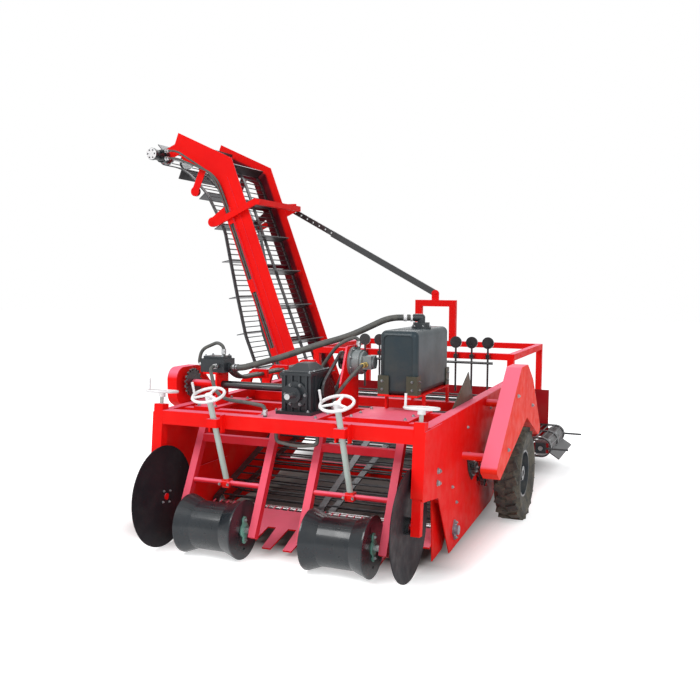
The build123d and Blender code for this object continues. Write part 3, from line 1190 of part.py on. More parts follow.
def thin_hoses():
    """Hoses at the left pump, along the front beam, under it, and at the second pump."""
    beam_y = FRONT_BEAM_Y + 45
    beam_low = FRONT_BEAM_TOP - FRONT_BEAM_HEIGHT
    port_z = PUMP_LOW + 42
    left = PUMP_X - PUMP_HALF
    for route in (
        [(PUMP_X + 40, PUMP_FRONT_Y - SEAT, port_z), (PUMP_X + 40, PUMP_FRONT_Y - 90, port_z),
         (-510, 150, 950),
         (-400, beam_y + 20, 905), (-230, beam_y, 900), (-117, beam_y, 885),
         (-117, beam_y, FRONT_BEAM_TOP + SEAT)],
        [(-45, beam_y, beam_low - SEAT), (-45, beam_y, beam_low - 55), (85, beam_y, beam_low - 75),
         (215, beam_y, beam_low - 55), (215, beam_y, beam_low - SEAT)],
        [(left - SEAT, CROSS_SHAFT_Y, port_z), (left - 55, CROSS_SHAFT_Y, port_z),
         (left - 35, CROSS_SHAFT_Y, 1165),
         (PUMP_X, CROSS_SHAFT_Y, 1215), (PUMP_X + 45, CROSS_SHAFT_Y, 1190),
         (PUMP_X + 45, CROSS_SHAFT_Y, PUMP_TOP + SEAT)],
        [(SECOND_PUMP_FACE_X + 111, SECOND_PUMP_Y - 48 - SEAT, 1100), (SECOND_PUMP_FACE_X + 111, 455, 1100),
         (250, 385, 1005), (170, 385, 905), (170, 385, FRONT_BEAM_TOP + SEAT)],
        [(-33, GEARBOX_BACK_Y + SEAT, 1000), (-33, GEARBOX_BACK_Y + 55, 1000),
         (40, 556, 1110), (130, 556, 1225),
         (243, SECOND_PUMP_Y, 1270), (243, SECOND_PUMP_Y, SECOND_PUMP_Z + 76 + SEAT)],
    ):
        node("oil_hoses", hose(route, THIN_HOSE))


def deflector():
    """Upright sheet on the right rail."""
    first, last = DEFLECTOR_FEET
    outline = [(first, rail_top(first)), DEFLECTOR_PEAK, (last, rail_top(last))]
    node("deflector", side_plate(outline, RAIL_INNER, RAIL_INNER + PLATE))


def suction_hose():
    """Thick hose from the left pump to the elbow on the tank's cap."""
    port = PUMP_X + PUMP_HALF + 18 + SEAT
    node("suction_hose", hose([
        (port, CROSS_SHAFT_Y, PUMP_LOW + 30), (port + 75, CROSS_SHAFT_Y, PUMP_LOW + 30), (-262, 522, 1120),
        (-39, 613, 1205), (146, 689, 1262), suction_mouth(150), suction_mouth(SEAT),
    ], SUCTION_RADIUS))


cross_beams()
side_rails()
side_walls()
sleeves()
legs()
coulters()
rollers()
spindles()
share()
share_cheeks()
web_shafts()
digging_web()
wheels()
decks()
weld("cross_beams")
gearbox()
drive()
pumps()
left_guard()
tank()
right_guard()
rear_frame()
haulm_fingers()
gantry()
trough()
trough_web()
boom()
boom_web()
boom_hoses()
boom_clamp()
brace()
suction_hose()
pipes()
thin_hoses()
deflector()

# The part's origin is the middle of its bounding box, at the bottom.
BOUNDS = Compound([solid for solids in NODES.values() for solid in solids]).bounding_box()
ORIGIN = (
    (BOUNDS.min.X + BOUNDS.max.X) / 2,
    (BOUNDS.min.Y + BOUNDS.max.Y) / 2,
    BOUNDS.min.Z,
)


def write_nodes():
    os.makedirs("parts", exist_ok=True)
    shift = Location((-ORIGIN[0], -ORIGIN[1], -ORIGIN[2]))
    for name, solids in NODES.items():
        placed = [solid.moved(shift) for solid in solids]
        shape = placed[0] if len(placed) == 1 else Compound(placed)
        export_step(shape, f"parts/{name}.step")


write_nodes()
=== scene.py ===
import math
import random

import bmesh
import bpy
from mathutils import Matrix, Vector


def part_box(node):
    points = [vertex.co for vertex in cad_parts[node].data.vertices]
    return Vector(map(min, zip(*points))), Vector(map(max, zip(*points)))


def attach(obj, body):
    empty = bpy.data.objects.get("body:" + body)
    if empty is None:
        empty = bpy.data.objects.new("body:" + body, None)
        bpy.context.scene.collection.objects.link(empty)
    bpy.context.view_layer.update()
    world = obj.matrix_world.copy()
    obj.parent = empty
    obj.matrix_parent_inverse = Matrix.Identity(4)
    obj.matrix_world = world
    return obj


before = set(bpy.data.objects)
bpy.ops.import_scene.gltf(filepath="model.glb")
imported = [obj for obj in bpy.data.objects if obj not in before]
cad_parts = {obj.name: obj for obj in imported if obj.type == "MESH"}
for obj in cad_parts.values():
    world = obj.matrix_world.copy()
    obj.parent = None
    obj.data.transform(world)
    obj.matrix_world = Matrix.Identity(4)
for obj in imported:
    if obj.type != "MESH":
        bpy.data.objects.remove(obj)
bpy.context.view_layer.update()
random.seed(7)

# Sizes in millimetres in the machine's own frame: X to the right, Y to the rear, Z up from the ground.
# Y is 0 at the coulter axles and X is 0 in the middle of the machine.
TYRE_OUTER_X = 1129
TYRE_RADIUS = 315
AXLE_Y = 1463
FRAME_HALF = 856
PLATE = 6
DISC_RADIUS = 305
DISC_X = 786
DISC_DISH = 26
ROLLER_X = 400
ROLLER_Y = -22
ROLLER_RADIUS = 171
ROLLER_HALF = 187
ROLLER_RIM = 9
ROLLER_WAIST = 140
ROLLER_WAIST_HALF = 97
SPINDLE_FOOT = (106, 400)
DECK_TOP = 824
TANK_CAP = (559.5, 860, 1325)
ELEVATOR_NEAR_Y = 2700
ELEVATOR_FAR_Y = 3450
BOOM_GAP = 6
BOOM_NEAR_Y = ELEVATOR_NEAR_Y - BOOM_GAP - PLATE
BOOM_FAR_Y = ELEVATOR_FAR_Y + BOOM_GAP
ELBOW = (-1120, 330)

# Directions of the machine's frame
TO_RIGHT = (1, 0, 0)
TO_FRONT = (0, -1, 0)
TO_REAR = (0, 1, 0)
UPWARD = (0, 0, 1)


def from_elbow(x, z):
    """Place in the machine of an (x, z) offset from the boom's elbow."""
    return ELBOW[0] + x, ELBOW[1] + z


# The upper edge of the boom's plates from foot to head, and the shaft at its head
BOOM_EDGE = (from_elbow(90, 90), from_elbow(-770, 2405), from_elbow(-1347, 2667))
BOOM_HEAD = from_elbow(-1500, 2450)

tyre_low, tyre_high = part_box("tyre_right")
ORIGIN = Vector((
    TYRE_OUTER_X / 1000 - tyre_high.x,
    AXLE_Y / 1000 - (tyre_low.y + tyre_high.y) / 2,
    -tyre_low.z,
))


def at(x, y, z):
    """Point of the scene, in metres, from a point of the machine's frame in millimetres."""
    return Vector((x, y, z)) / 1000 - ORIGIN


# Materials

COAT_ROUGHNESS = 0.1
STREAK_SCALE = 30.0
# Strength of the painted sky reflection on the faces that look up
SHEEN_STRENGTH = 0.8
# Metres over which one colour of a coat goes over into the next
COLOUR_EDGE = 0.004

# Metres over which the painted shade inside the boom sets in: behind the near plate, up to the far plate
# and under the upper edge
SHADE_BEHIND = (0.006, 0.008)
SHADE_BEFORE = (0.001, 0.004)
SHADE_UNDER = (0.065, 0.085)


class Nodes:
    """Short calls for building one node material."""

    def __init__(self, name):
        self.material = bpy.data.materials.new(name)
        self.material.use_nodes = True
        self.tree = self.material.node_tree
        self.shader = self.tree.nodes["Principled BSDF"]
        coordinates = self.tree.nodes.new("ShaderNodeTexCoord")
        self.place = coordinates.outputs["Object"]
        self.normal = coordinates.outputs["Normal"]

    def link(self, source, target):
        self.tree.links.new(source, target)

    def noise(self, scale, detail=4.0, roughness=0.55, stretch=(1, 1, 1)):
        mapping = self.tree.nodes.new("ShaderNodeMapping")
        mapping.inputs["Scale"].default_value = stretch
        self.link(self.place, mapping.inputs["Vector"])
        node = self.tree.nodes.new("ShaderNodeTexNoise")
        node.inputs["Scale"].default_value = scale
        node.inputs["Detail"].default_value = detail
        node.inputs["Roughness"].default_value = roughness
        self.link(mapping.outputs["Vector"], node.inputs["Vector"])
        return node.outputs["Fac"]

    def ramp(self, value, low, high, out_low=0.0, out_high=1.0):
        node = self.tree.nodes.new("ShaderNodeMapRange")
        node.inputs["From Min"].default_value = low
        node.inputs["From Max"].default_value = high
        node.inputs["To Min"].default_value = out_low
        node.inputs["To Max"].default_value = out_high
        self.link(value, node.inputs["Value"])
        return node.outputs["Result"]

    def component(self, vector, axis):
        split = self.tree.nodes.new("ShaderNodeSeparateXYZ")
        self.link(vector, split.inputs["Vector"])
        return split.outputs[axis]

    def height(self, low, high):
        """1 below the height low and 0 above high, in metres over the floor."""
        return self.ramp(self.component(self.place, "Z"), low, high, 1.0, 0.0)

    def upward(self, low, high):
        """0 on faces that look sideways or down, and 1 on those that look up."""
        return self.ramp(self.component(self.normal, "Z"), low, high)

    def calculate(self, operation, a, b=0.0):
        node = self.tree.nodes.new("ShaderNodeMath")
        node.operation = operation
        for socket, value in zip(node.inputs, (a, b)):
            if isinstance(value, float):
                socket.default_value = value
            else:
                self.link(value, socket)
        return node.outputs["Value"]

    def times(self, a, b):
        return self.calculate("MULTIPLY", a, b)

    def inside_boom(self):
        """1 between the boom's two plates, from a hand's width under their upper edges."""
        near = at(0, BOOM_NEAR_Y, 0).y
        far = at(0, BOOM_FAR_Y, 0).y
        y = self.component(self.place, "Y")
        behind = self.ramp(y, near + SHADE_BEHIND[0], near + SHADE_BEHIND[1])
        before = self.ramp(y, far + SHADE_BEFORE[0], far + SHADE_BEFORE[1], 1.0, 0.0)
        inside = self.times(behind, before)
        for (start_x, start_z), (end_x, end_z) in zip(BOOM_EDGE, BOOM_EDGE[1:]):
            start = at(start_x, 0, start_z)
            along = (at(end_x, 0, end_z) - start).normalized()
            outward = self.tree.nodes.new("ShaderNodeVectorMath")
            outward.operation = "DOT_PRODUCT"
            outward.inputs[1].default_value = (along.z, 0, -along.x)
            self.link(self.place, outward.inputs[0])
            edge = start.x * along.z - start.z * along.x
            full, none = edge - SHADE_UNDER[1], edge - SHADE_UNDER[0]
            under = self.ramp(outward.outputs["Value"], full, none, 1.0, 0.0)
            inside = self.times(inside, under)
        return inside

    def mix(self, factor, a, b):
        node = self.tree.nodes.new("ShaderNodeMix")
        node.data_type = "RGBA"
        self.link(factor, node.inputs["Factor"])
        for socket, colour in (("A", a), ("B", b)):
            target = [s for s in node.inputs if s.name == socket and s.type == "RGBA"][0]
            if isinstance(colour, tuple):
                target.default_value = (*colour, 1)
            else:
                self.link(colour, target)
        return [s for s in node.outputs if s.type == "RGBA"][0]

    def bump(self, value, strength, distance):
        node = self.tree.nodes.new("ShaderNodeBump")
        node.inputs["Strength"].default_value = strength
        node.inputs["Distance"].default_value = distance
        self.link(value, node.inputs["Height"])
        self.link(node.outputs["Normal"], self.shader.inputs["Normal"])

    def finish(self, colour, roughness, metallic=0.0, coat=0.0):
        self.link(colour, self.shader.inputs["Base Color"])
        self.link(roughness, self.shader.inputs["Roughness"])
        self.shader.inputs["Metallic"].default_value = metallic
        self.shader.inputs["Coat Weight"].default_value = coat
        self.shader.inputs["Coat Roughness"].default_value = COAT_ROUGHNESS
        return self.material


def paint(name, colour, shade, dust, coat=0.12, rough=(0.35, 0.6), chip=(0.12, 0.1, 0.09), chips=0.70,
          gloss=0.2, dusting=0.2, upper=None, painted_sheen=None, inner_shade=None):
    """Sprayed paint with a slight orange peel, uneven shade, dust and a few chips.

    upper is a height in metres and a colour that takes over above it. faded is the colour of a painted
    sky reflection on the faces that look up, and stain that of the painted shade inside the boom.
    """
    n = Nodes(name)
    mottled = n.ramp(n.noise(2.2, 3.0), 0.35, 0.65)
    body = n.mix(mottled, colour, shade)
    if upper:
        height, upper_colour = upper
        body = n.mix(n.height(height, height + COLOUR_EDGE), upper_colour, body)
    # Painted reflection of the sky: faces that look up go over towards a pinker colour
    if painted_sheen:
        body = n.mix(n.times(n.upward(0.15, 0.65), SHEEN_STRENGTH), body, painted_sheen)
    # Painted shade inside the boom, below the plates' upper edges, made patchy
    if inner_shade:
        patchy = n.ramp(n.noise(5.0, 5.0), 0.2, 0.5, 0.7, 1.0)
        body = n.mix(n.times(n.inside_boom(), patchy), body, inner_shade)
    dusty = n.times(n.ramp(n.noise(9.0, 5.0), 0.45, 0.75), n.height(0.1, 1.0))
    body = n.mix(n.times(dusty, dusting), body, dust)
    chipped = n.ramp(n.noise(55.0, 6.0, 0.7), chips, chips + 0.03)
    body = n.mix(chipped, body, chip)
    orange_peel = n.noise(420.0, 2.0)
    n.bump(orange_peel, 0.06, 0.001)
    n.shader.inputs["Specular IOR Level"].default_value = gloss
    return n.finish(body, n.ramp(n.noise(14.0), 0.3, 0.7, *rough), coat=coat)


def metal(name, colour, shade, metallic, rough, stretch=(1, 1, 1)):
    """Bare or blackened metal, streaked along the way it was worked."""
    n = Nodes(name)
    streaks = n.noise(STREAK_SCALE, 6.0, 0.65, stretch)
    body = n.mix(n.ramp(streaks, 0.35, 0.7), colour, shade)
    n.bump(n.noise(STREAK_SCALE * 6, 3.0), 0.15, 0.001)
    return n.finish(body, n.ramp(streaks, 0.3, 0.7, *rough), metallic=metallic)


def tyre_rubber():
    """Black rubber with dried soil in the tread and grey-brown dust on the walls."""
    n = Nodes("tyre_rubber")
    soil = n.ramp(n.noise(9.0, 8.0, 0.7), 0.44, 0.60)
    fine = n.ramp(n.noise(60.0, 6.0, 0.7), 0.4, 0.7)
    body = n.mix(fine, (0.024, 0.023, 0.021), (0.050, 0.047, 0.041))
    body = n.mix(n.times(soil, 0.6), body, (0.13, 0.115, 0.080))
    n.bump(n.noise(90.0, 8.0), 0.6, 0.004)
    return n.finish(body, n.ramp(fine, 0.0, 1.0, 0.75, 0.95))


def hose_rubber():
    """Grey-black rubber under a film of dust."""
    n = Nodes("hose_rubber")
    dust = n.ramp(n.noise(25.0, 5.0), 0.35, 0.75)
    body = n.mix(dust, (0.045, 0.048, 0.046), (0.115, 0.112, 0.098))
    n.bump(n.noise(300.0, 3.0), 0.2, 0.001)
    return n.finish(body, n.ramp(dust, 0.0, 1.0, 0.42, 0.75))


def tank_paint():
    """Dark satin paint on the tank, with greenish-brown dust towards its bottom."""
    n = Nodes("tank_paint")
    cloud = n.ramp(n.noise(4.0, 6.0, 0.6), 0.35, 0.7)
    # The blue-grey tint of the tank's dark colour is a painted reflection of the sky
    body = n.mix(cloud, (0.020, 0.034, 0.043), (0.038, 0.048, 0.050))
    dust = n.times(n.ramp(n.noise(11.0, 6.0), 0.4, 0.7), n.height(0.9, 1.25))
    body = n.mix(n.times(dust, 0.45), body, (0.10, 0.085, 0.058))
    n.bump(n.noise(160.0, 3.0), 0.08, 0.001)
    n.shader.inputs["Specular IOR Level"].default_value = 0.2
    return n.finish(body, n.ramp(cloud, 0.0, 1.0, 0.36, 0.55), coat=0.08)


RED_COLOUR = (0.84, 0.006, 0.004)
DEEP_RED = (0.76, 0.004, 0.004)
# Pink of the painted sky reflection on the red faces that look up
SKY_SHEEN_RED = (0.86, 0.19, 0.29)
RED_DUST = (0.46, 0.12, 0.07)
# Dark red of the painted shade inside the boom
BOOM_INNER_SHADE = (0.10, 0.006, 0.012)
OLIVE_COLOUR = (0.060, 0.062, 0.042)
PALE_GREEN = (0.46, 0.54, 0.50)
STEM_TOP = 0.426
SHELF_LEGS_TOP = 0.928
# Red with dust, and with a painted sky reflection on the faces that look up
RED_DUST_AND_SHEEN = {"dust": RED_DUST, "coat": 0.04, "rough": (0.45, 0.7), "gloss": 0.1, "painted_sheen": SKY_SHEEN_RED}
RED = paint("red_paint", RED_COLOUR, DEEP_RED, **RED_DUST_AND_SHEEN)
ORANGE = paint("guard_paint", (0.87, 0.030, 0.010), (0.80, 0.020, 0.007), **RED_DUST_AND_SHEEN)
# The arms' pinker red is a painted reflection of the sky on their faces that look up and to the front
SHEENED_ARM_RED = paint("sheened_arm_paint", (0.74, 0.026, 0.044), (0.66, 0.020, 0.034), **RED_DUST_AND_SHEEN)
# The boom's red, with painted shade between its plates
BOOM_RED = paint("boom_paint", RED_COLOUR, DEEP_RED, inner_shade=BOOM_INNER_SHADE, **RED_DUST_AND_SHEEN)
# Darker copy of the red for the trough's inner plates: painted shade
SHADED_RED = paint("shaded_inner_red_paint", (0.40, 0.005, 0.009), (0.28, 0.003, 0.007), (0.20, 0.08, 0.05))
BLACK = paint("black_paint", (0.010, 0.012, 0.014), (0.018, 0.020, 0.022), (0.11, 0.09, 0.07), coat=0.5,
              rough=(0.22, 0.42), chip=(0.20, 0.19, 0.18), chips=0.74, gloss=0.5)
DRUM = paint("drum_paint", (0.006, 0.009, 0.012), (0.012, 0.017, 0.022), (0.09, 0.08, 0.065), coat=0.3,
             rough=(0.22, 0.40), chip=(0.16, 0.16, 0.16), chips=0.74, gloss=0.3, dusting=0.12)
DISC = paint("disc_paint", (0.007, 0.007, 0.010), (0.014, 0.010, 0.013), (0.12, 0.09, 0.080), coat=0.05,
             rough=(0.5, 0.75), chip=(0.25, 0.21, 0.19), chips=0.70, dusting=0.12)
CAST = paint("cast_paint", (0.010, 0.014, 0.018), (0.022, 0.027, 0.031), (0.13, 0.12, 0.10), coat=0.2,
             rough=(0.35, 0.6), chip=(0.22, 0.22, 0.22), chips=0.72, gloss=0.4)
GREY = paint("grey_paint", (0.15, 0.18, 0.19), (0.22, 0.24, 0.24), (0.24, 0.21, 0.17), rough=(0.4, 0.6))
RIM = paint("rim_paint", (0.020, 0.025, 0.034), (0.070, 0.085, 0.100), (0.17, 0.15, 0.11), coat=0.4,
            rough=(0.30, 0.55), chip=(0.30, 0.31, 0.30), chips=0.66, dusting=0.4)
SHELF = paint("shelf_paint", RED_COLOUR, DEEP_RED, RED_DUST, upper=(SHELF_LEGS_TOP, OLIVE_COLOUR))
OLIVE = paint("flight_paint", OLIVE_COLOUR, (0.085, 0.080, 0.055), (0.16, 0.13, 0.09),
              rough=(0.45, 0.65), chip=(0.30, 0.05, 0.04), chips=0.70)
WHITE = paint("white_paint", (0.80, 0.79, 0.79), (0.70, 0.69, 0.70), (0.45, 0.40, 0.36), coat=0.4,
              rough=(0.25, 0.45), chip=(0.45, 0.30, 0.28), chips=0.75)
PRIMER = paint("primer_paint", RED_COLOUR, DEEP_RED, (0.30, 0.26, 0.20), coat=0.1,
               rough=(0.4, 0.6), chip=(0.30, 0.24, 0.20), chips=0.66, upper=(STEM_TOP, PALE_GREEN))
GREEN = paint("bearing_paint", (0.16, 0.38, 0.30), (0.10, 0.26, 0.21), (0.22, 0.20, 0.14), coat=0.3)
WEB = metal("web_steel", (0.035, 0.036, 0.040), (0.14, 0.14, 0.145), 0.85, (0.28, 0.5), (1, 6, 6))
STEEL = metal("turned_steel", (0.42, 0.43, 0.44), (0.60, 0.60, 0.60), 1.0, (0.22, 0.42), (8, 1, 8))
BOLT = metal("zinc_bolts", (0.36, 0.38, 0.40), (0.16, 0.16, 0.16), 1.0, (0.25, 0.45))
YELLOW = metal("yellow_zinc", (0.72, 0.52, 0.16), (0.46, 0.34, 0.12), 0.8, (0.3, 0.5))
BEARING = metal("cast_bearings", (0.20, 0.26, 0.31), (0.34, 0.39, 0.43), 0.7, (0.3, 0.5))
TYRE = tyre_rubber()
HOSE = hose_rubber()
TANK = tank_paint()

# What each node is made of, where it isn't plain red
NODE_MATERIALS = {
    TYRE: ("tyre_left", "tyre_right"),
    RIM: ("rim_left", "rim_right"),
    DISC: ("coulter_disc_left", "coulter_disc_right"),
    DRUM: ("roller_left", "roller_right"),
    BLACK: ("brace_lower", "brace_upper", "haulm_fingers", "drive_shaft", "drive_sprocket",
            "coulter_hub_left", "coulter_hub_right", "chain_tensioner"),
    SHELF: ("tank_support",),
    OLIVE: ("deflector",),
    STEEL: ("roller_axles", "pto_shaft", "tail_shaft", "boom_shaft", "web_shafts"),
    WHITE: ("hand_wheels",),
    PRIMER: ("spindles",),
    CAST: ("gearbox", "oil_pump", "tank_cap", "boom_motor", "tail_bearings"),
    GREY: ("drive_pump",),
    TANK: ("oil_tank",),
    WEB: ("digging_web", "trough_web", "boom_web", "drive_chain"),
    HOSE: ("boom_hoses", "suction_hose", "oil_hoses"),
    BEARING: ("web_bearings",),
    SHADED_RED: ("trough_plates",),
    ORANGE: ("right_chain_guard",),
    BOOM_RED: ("boom_plates",),
    SHEENED_ARM_RED: ("roller_arms",),
}


def dress_nodes():
    """Give each node its material."""
    finish_of = {node: material for material, nodes in NODE_MATERIALS.items() for node in nodes}
    for name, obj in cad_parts.items():
        material = finish_of.get(name, RED)
        for slot in obj.material_slots:
            slot.material = material
        if not obj.material_slots:
            obj.data.materials.append(material)


# Shapes of the mesh pieces

# Share of a stud's height below its chamfer
STUD_STRAIGHT = 0.75
# Height of a bolt's washer in millimetres, and its radius, the head's height and the thread's radius
# as shares of the bolt's size
WASHER_HEIGHT = 2.5
WASHER_SHARE = 1.25
HEAD_SHARE = 0.8
THREAD_SHARE = 0.5
# A weld bead's least radius as a share of the one asked for, and how much of it chance can add
BEAD_LEAST = 0.85
BEAD_SWELL = 0.3


def piece(name, mesh_maker, material, body="root", sharp=35):
    """Object from a bmesh, riding on a body, with edges sharp above an angle in degrees."""
    mesh = bpy.data.meshes.new(name)
    mesh_maker.to_mesh(mesh)
    mesh_maker.free()
    mesh.shade_smooth()
    mesh.set_sharp_from_angle(angle=math.radians(sharp))
    mesh.materials.append(material)
    obj = bpy.data.objects.new(name, mesh)
    bpy.context.scene.collection.objects.link(obj)
    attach(obj, body)


def facing(point, axis):
    """Matrix that stands Z along the axis at a point of the machine's frame."""
    turn = Vector(axis).to_track_quat("Z", "Y").to_matrix().to_4x4()
    return Matrix.Translation(at(*point)) @ turn


def ring(bm, base, radius, height, sides):
    """Corners of a regular polygon round the Z axis of base, at a height along it."""
    corners = []
    for i in range(sides):
        turn = 2 * math.pi * i / sides
        corner = Vector((radius * math.cos(turn), radius * math.sin(turn), height)) / 1000
        corners.append(bm.verts.new(base @ corner))
    return corners


def skin(bm, rings):
    """Faces from each ring of corners to the next."""
    for low, high in zip(rings, rings[1:]):
        for i in range(len(low)):
            j = (i + 1) % len(low)
            bm.faces.new((low[i], low[j], high[j], high[i]))


def soften(bm, edges, bevel):
    """Round the edges off by a bevel in millimetres."""
    bmesh.ops.bevel(bm, geom=edges, offset=bevel / 1000, segments=2, affect="EDGES", profile=0.6)


def stud(bm, point, axis, radius, height, sides=6, top=0.8, lift=0.0):
    """Low prism with a chamfered top, standing on a point along an axis."""
    base = facing(point, axis)
    levels = ((radius, lift), (radius, lift + height * STUD_STRAIGHT), (radius * top, lift + height))
    rings = [ring(bm, base, r, z, sides) for r, z in levels]
    skin(bm, rings)
    bm.faces.new(rings[-1])


def bolt(bm, point, axis, size):
    """Washer, hexagon head and the end of a thread."""
    head = size * HEAD_SHARE
    thread = size * THREAD_SHARE
    stud(bm, point, axis, size * WASHER_SHARE, WASHER_HEIGHT, sides=16, top=0.97)
    stud(bm, point, axis, size, head, sides=6, top=0.88, lift=WASHER_HEIGHT)
    stud(bm, point, axis, thread, thread, sides=10, top=0.8, lift=WASHER_HEIGHT + head)


def bolts(name, places, size, body="root", material=BOLT):
    """One piece of several bolts, each as (point, axis)."""
    bm = bmesh.new()
    for point, axis in places:
        bolt(bm, point, axis, size)
    piece(name, bm, material, body)


def slab(bm, low, high, bevel=1.5):
    """Box between two corners with bevelled edges."""
    made = bmesh.ops.create_cube(bm, size=1.0)
    a, b = at(*low), at(*high)
    for v in made["verts"]:
        v.co = Vector((a[i] + (v.co[i] + 0.5) * (b[i] - a[i]) for i in range(3)))
    edges = {e for v in made["verts"] for e in v.link_edges}
    soften(bm, list(edges), bevel)


def band(bm, point, axis, radius, width, thickness, sides=24):
    """Short sleeve round a hose or a pipe, from its middle, with its ends turned in."""
    base = facing(point, axis)
    half = width / 2
    outer = radius + thickness
    levels = ((radius, -half), (outer, -half + 1), (outer, half - 1), (radius, half))
    skin(bm, [ring(bm, base, r, z, sides) for r, z in levels])


def seam(bm, points, radius, sides=6):
    """Bead of weld through the points."""
    rings = []
    for i, point in enumerate(points):
        before = Vector(points[max(i - 1, 0)])
        after = Vector(points[min(i + 1, len(points) - 1)])
        swollen = radius * (BEAD_LEAST + BEAD_SWELL * random.random())
        rings.append(ring(bm, facing(point, after - before), swollen, 0, sides))
    skin(bm, rings)


def run(start, end, step=9):
    """Points from start to end, a step apart."""
    a, b = Vector(start), Vector(end)
    count = max(2, int((b - a).length / step))
    return [a.lerp(b, i / count) for i in range(count + 1)]


# Places, each as (point, axis)

SIX_AROUND = range(0, 360, 60)


def grid(firsts, seconds):
    """Every pair of one value from each."""
    return [(a, b) for a in firsts for b in seconds]


def on_side(x, pairs):
    """Places at (y, z) on a face that looks right."""
    return [((x, y, z), TO_RIGHT) for y, z in pairs]


def on_front(y, pairs):
    """Places at (x, z) on a face that looks to the front."""
    return [((x, y, z), TO_FRONT) for x, z in pairs]


def on_top(z, pairs):
    """Places at (x, y) on a face that looks up."""
    return [((x, y, z), UPWARD) for x, y in pairs]


def circle(centre, radius, turns, axis):
    """Places round a centre, at turns in degrees, in the plane square to the axis."""
    x, y, z = centre
    places = []
    for turn in turns:
        a = radius * math.cos(math.radians(turn))
        b = radius * math.sin(math.radians(turn))
        if axis[0]:
            places.append(((x, y + a, z + b), axis))
        elif axis[1]:
            places.append(((x + a, y, z + b), axis))
        else:
            places.append(((x + a, y + b, z), axis))
    return places


def mirrored(places):
    """The places, and their images on the left side."""
    return places + [((-p[0], p[1], p[2]), (-a[0], a[1], a[2])) for p, a in places]


# Bolts of the walls, the guard and the web's bearings, as (y, z) on the right side

CLAMP_BOLTS = ((255, 558), (248, 491))
WALL_BOLTS = ((566, 397), (659, 284), (900, 700), (1500, 740), (2100, 720))
GUARD_FACE_X = FRAME_HALF + 254
GUARD_BOLTS = ((912, 576), (1182, 876), (1671, 752))
BEARING_FACE_X = FRAME_HALF + 12
WEB_BEARINGS = ((618, 126), (1750, 545), (2590, 625))
BEARING_BOLT_SHIFT = 46


def side_bolts():
    bolts("clamp_bolts", mirrored(on_side(FRAME_HALF + PLATE, CLAMP_BOLTS)), size=15)
    bolts("wall_bolts", mirrored(on_side(FRAME_HALF, WALL_BOLTS)), size=9)
    bolts("guard_bolts", on_side(GUARD_FACE_X, GUARD_BOLTS), size=11)
    shifts = (-BEARING_BOLT_SHIFT, BEARING_BOLT_SHIFT)
    pairs = [(y, z + shift) for y, z in WEB_BEARINGS for shift in shifts]
    bolts("bearing_bolts", mirrored(on_side(BEARING_FACE_X, pairs)), size=9)


# Coulters, rollers and wheels: sign is 1 on the right and -1 on the left

DISC_BOLT_CIRCLE = 46
DISC_BOLT_TURNS = range(35, 360, 90)
HUB_INSET = 72
HUB_BOLT_CIRCLE = 92
HUB_BOLT_TURNS = range(15, 360, 60)
SEAM_TURNS = (130, 312)
SEAM_RADIUS = 2.5
SEAM_STEP = 14
SEAM_SUNK = 2
ROLLER_EARS = (-58, 58)
EAR_HEIGHT = 8
BRIDGE_HALF = 20
BRIDGE_REACH = 60
BRIDGE_HEIGHT = 7


def disc_bolts(side, sign):
    centre = (sign * (DISC_X - DISC_DISH), 0, DISC_RADIUS)
    places = circle(centre, DISC_BOLT_CIRCLE, DISC_BOLT_TURNS, (-sign, 0, 0))
    bolts(f"disc_bolts_{side}", places, size=7, body=f"coulter_{side}")


def roller_seams(side, middle):
    """Welds along the drum where its sheets meet."""
    end = ROLLER_HALF - ROLLER_RIM
    rim = ROLLER_RADIUS - SEAM_SUNK
    waist = ROLLER_WAIST_HALF
    profile = ((-end, rim), (-waist, ROLLER_WAIST), (waist, ROLLER_WAIST), (end, rim))
    bm = bmesh.new()
    for turn in SEAM_TURNS:
        cos, sin = math.cos(math.radians(turn)), math.sin(math.radians(turn))
        line = [(middle + x, ROLLER_Y + r * cos, ROLLER_RADIUS + r * sin) for x, r in profile]
        for a, b in zip(line, line[1:]):
            seam(bm, run(a, b, SEAM_STEP), SEAM_RADIUS)
    piece(f"roller_seams_{side}", bm, DRUM, body=f"roller_{side}", sharp=60)


def roller_bearings(side, middle):
    """Round bearing at each end of the drum, with two ears and the bridge between them."""
    bm = bmesh.new()
    ear_places = []
    for end in (-1, 1):
        face = middle + end * ROLLER_HALF
        stud(bm, (face, ROLLER_Y, ROLLER_RADIUS), (end, 0, 0), radius=44, height=9, sides=28, top=0.95)
        for shift in ROLLER_EARS:
            ear = (face, ROLLER_Y, ROLLER_RADIUS + shift)
            stud(bm, ear, (end, 0, 0), radius=22, height=EAR_HEIGHT, sides=20, top=0.9)
            ear_places.append(((face + end * EAR_HEIGHT, ROLLER_Y, ROLLER_RADIUS + shift), (end, 0, 0)))
        slab(bm, (face, ROLLER_Y - BRIDGE_HALF, ROLLER_RADIUS - BRIDGE_REACH),
             (face + end * BRIDGE_HEIGHT, ROLLER_Y + BRIDGE_HALF, ROLLER_RADIUS + BRIDGE_REACH))
    piece(f"roller_bearings_{side}", bm, GREEN, body=f"roller_{side}")
    bolts(f"roller_bolts_{side}", ear_places, size=9, body=f"roller_{side}")


def wheel_bolts(side, sign):
    centre = (sign * (TYRE_OUTER_X - HUB_INSET), AXLE_Y, TYRE_RADIUS)
    places = circle(centre, HUB_BOLT_CIRCLE, HUB_BOLT_TURNS, (sign, 0, 0))
    bolts(f"wheel_bolts_{side}", places, size=13, body=f"wheel_{side}")


def turning_parts():
    for side, sign in (("left", -1), ("right", 1)):
        disc_bolts(side, sign)
        roller_seams(side, sign * ROLLER_X)
        roller_bearings(side, sign * ROLLER_X)
        wheel_bolts(side, sign)


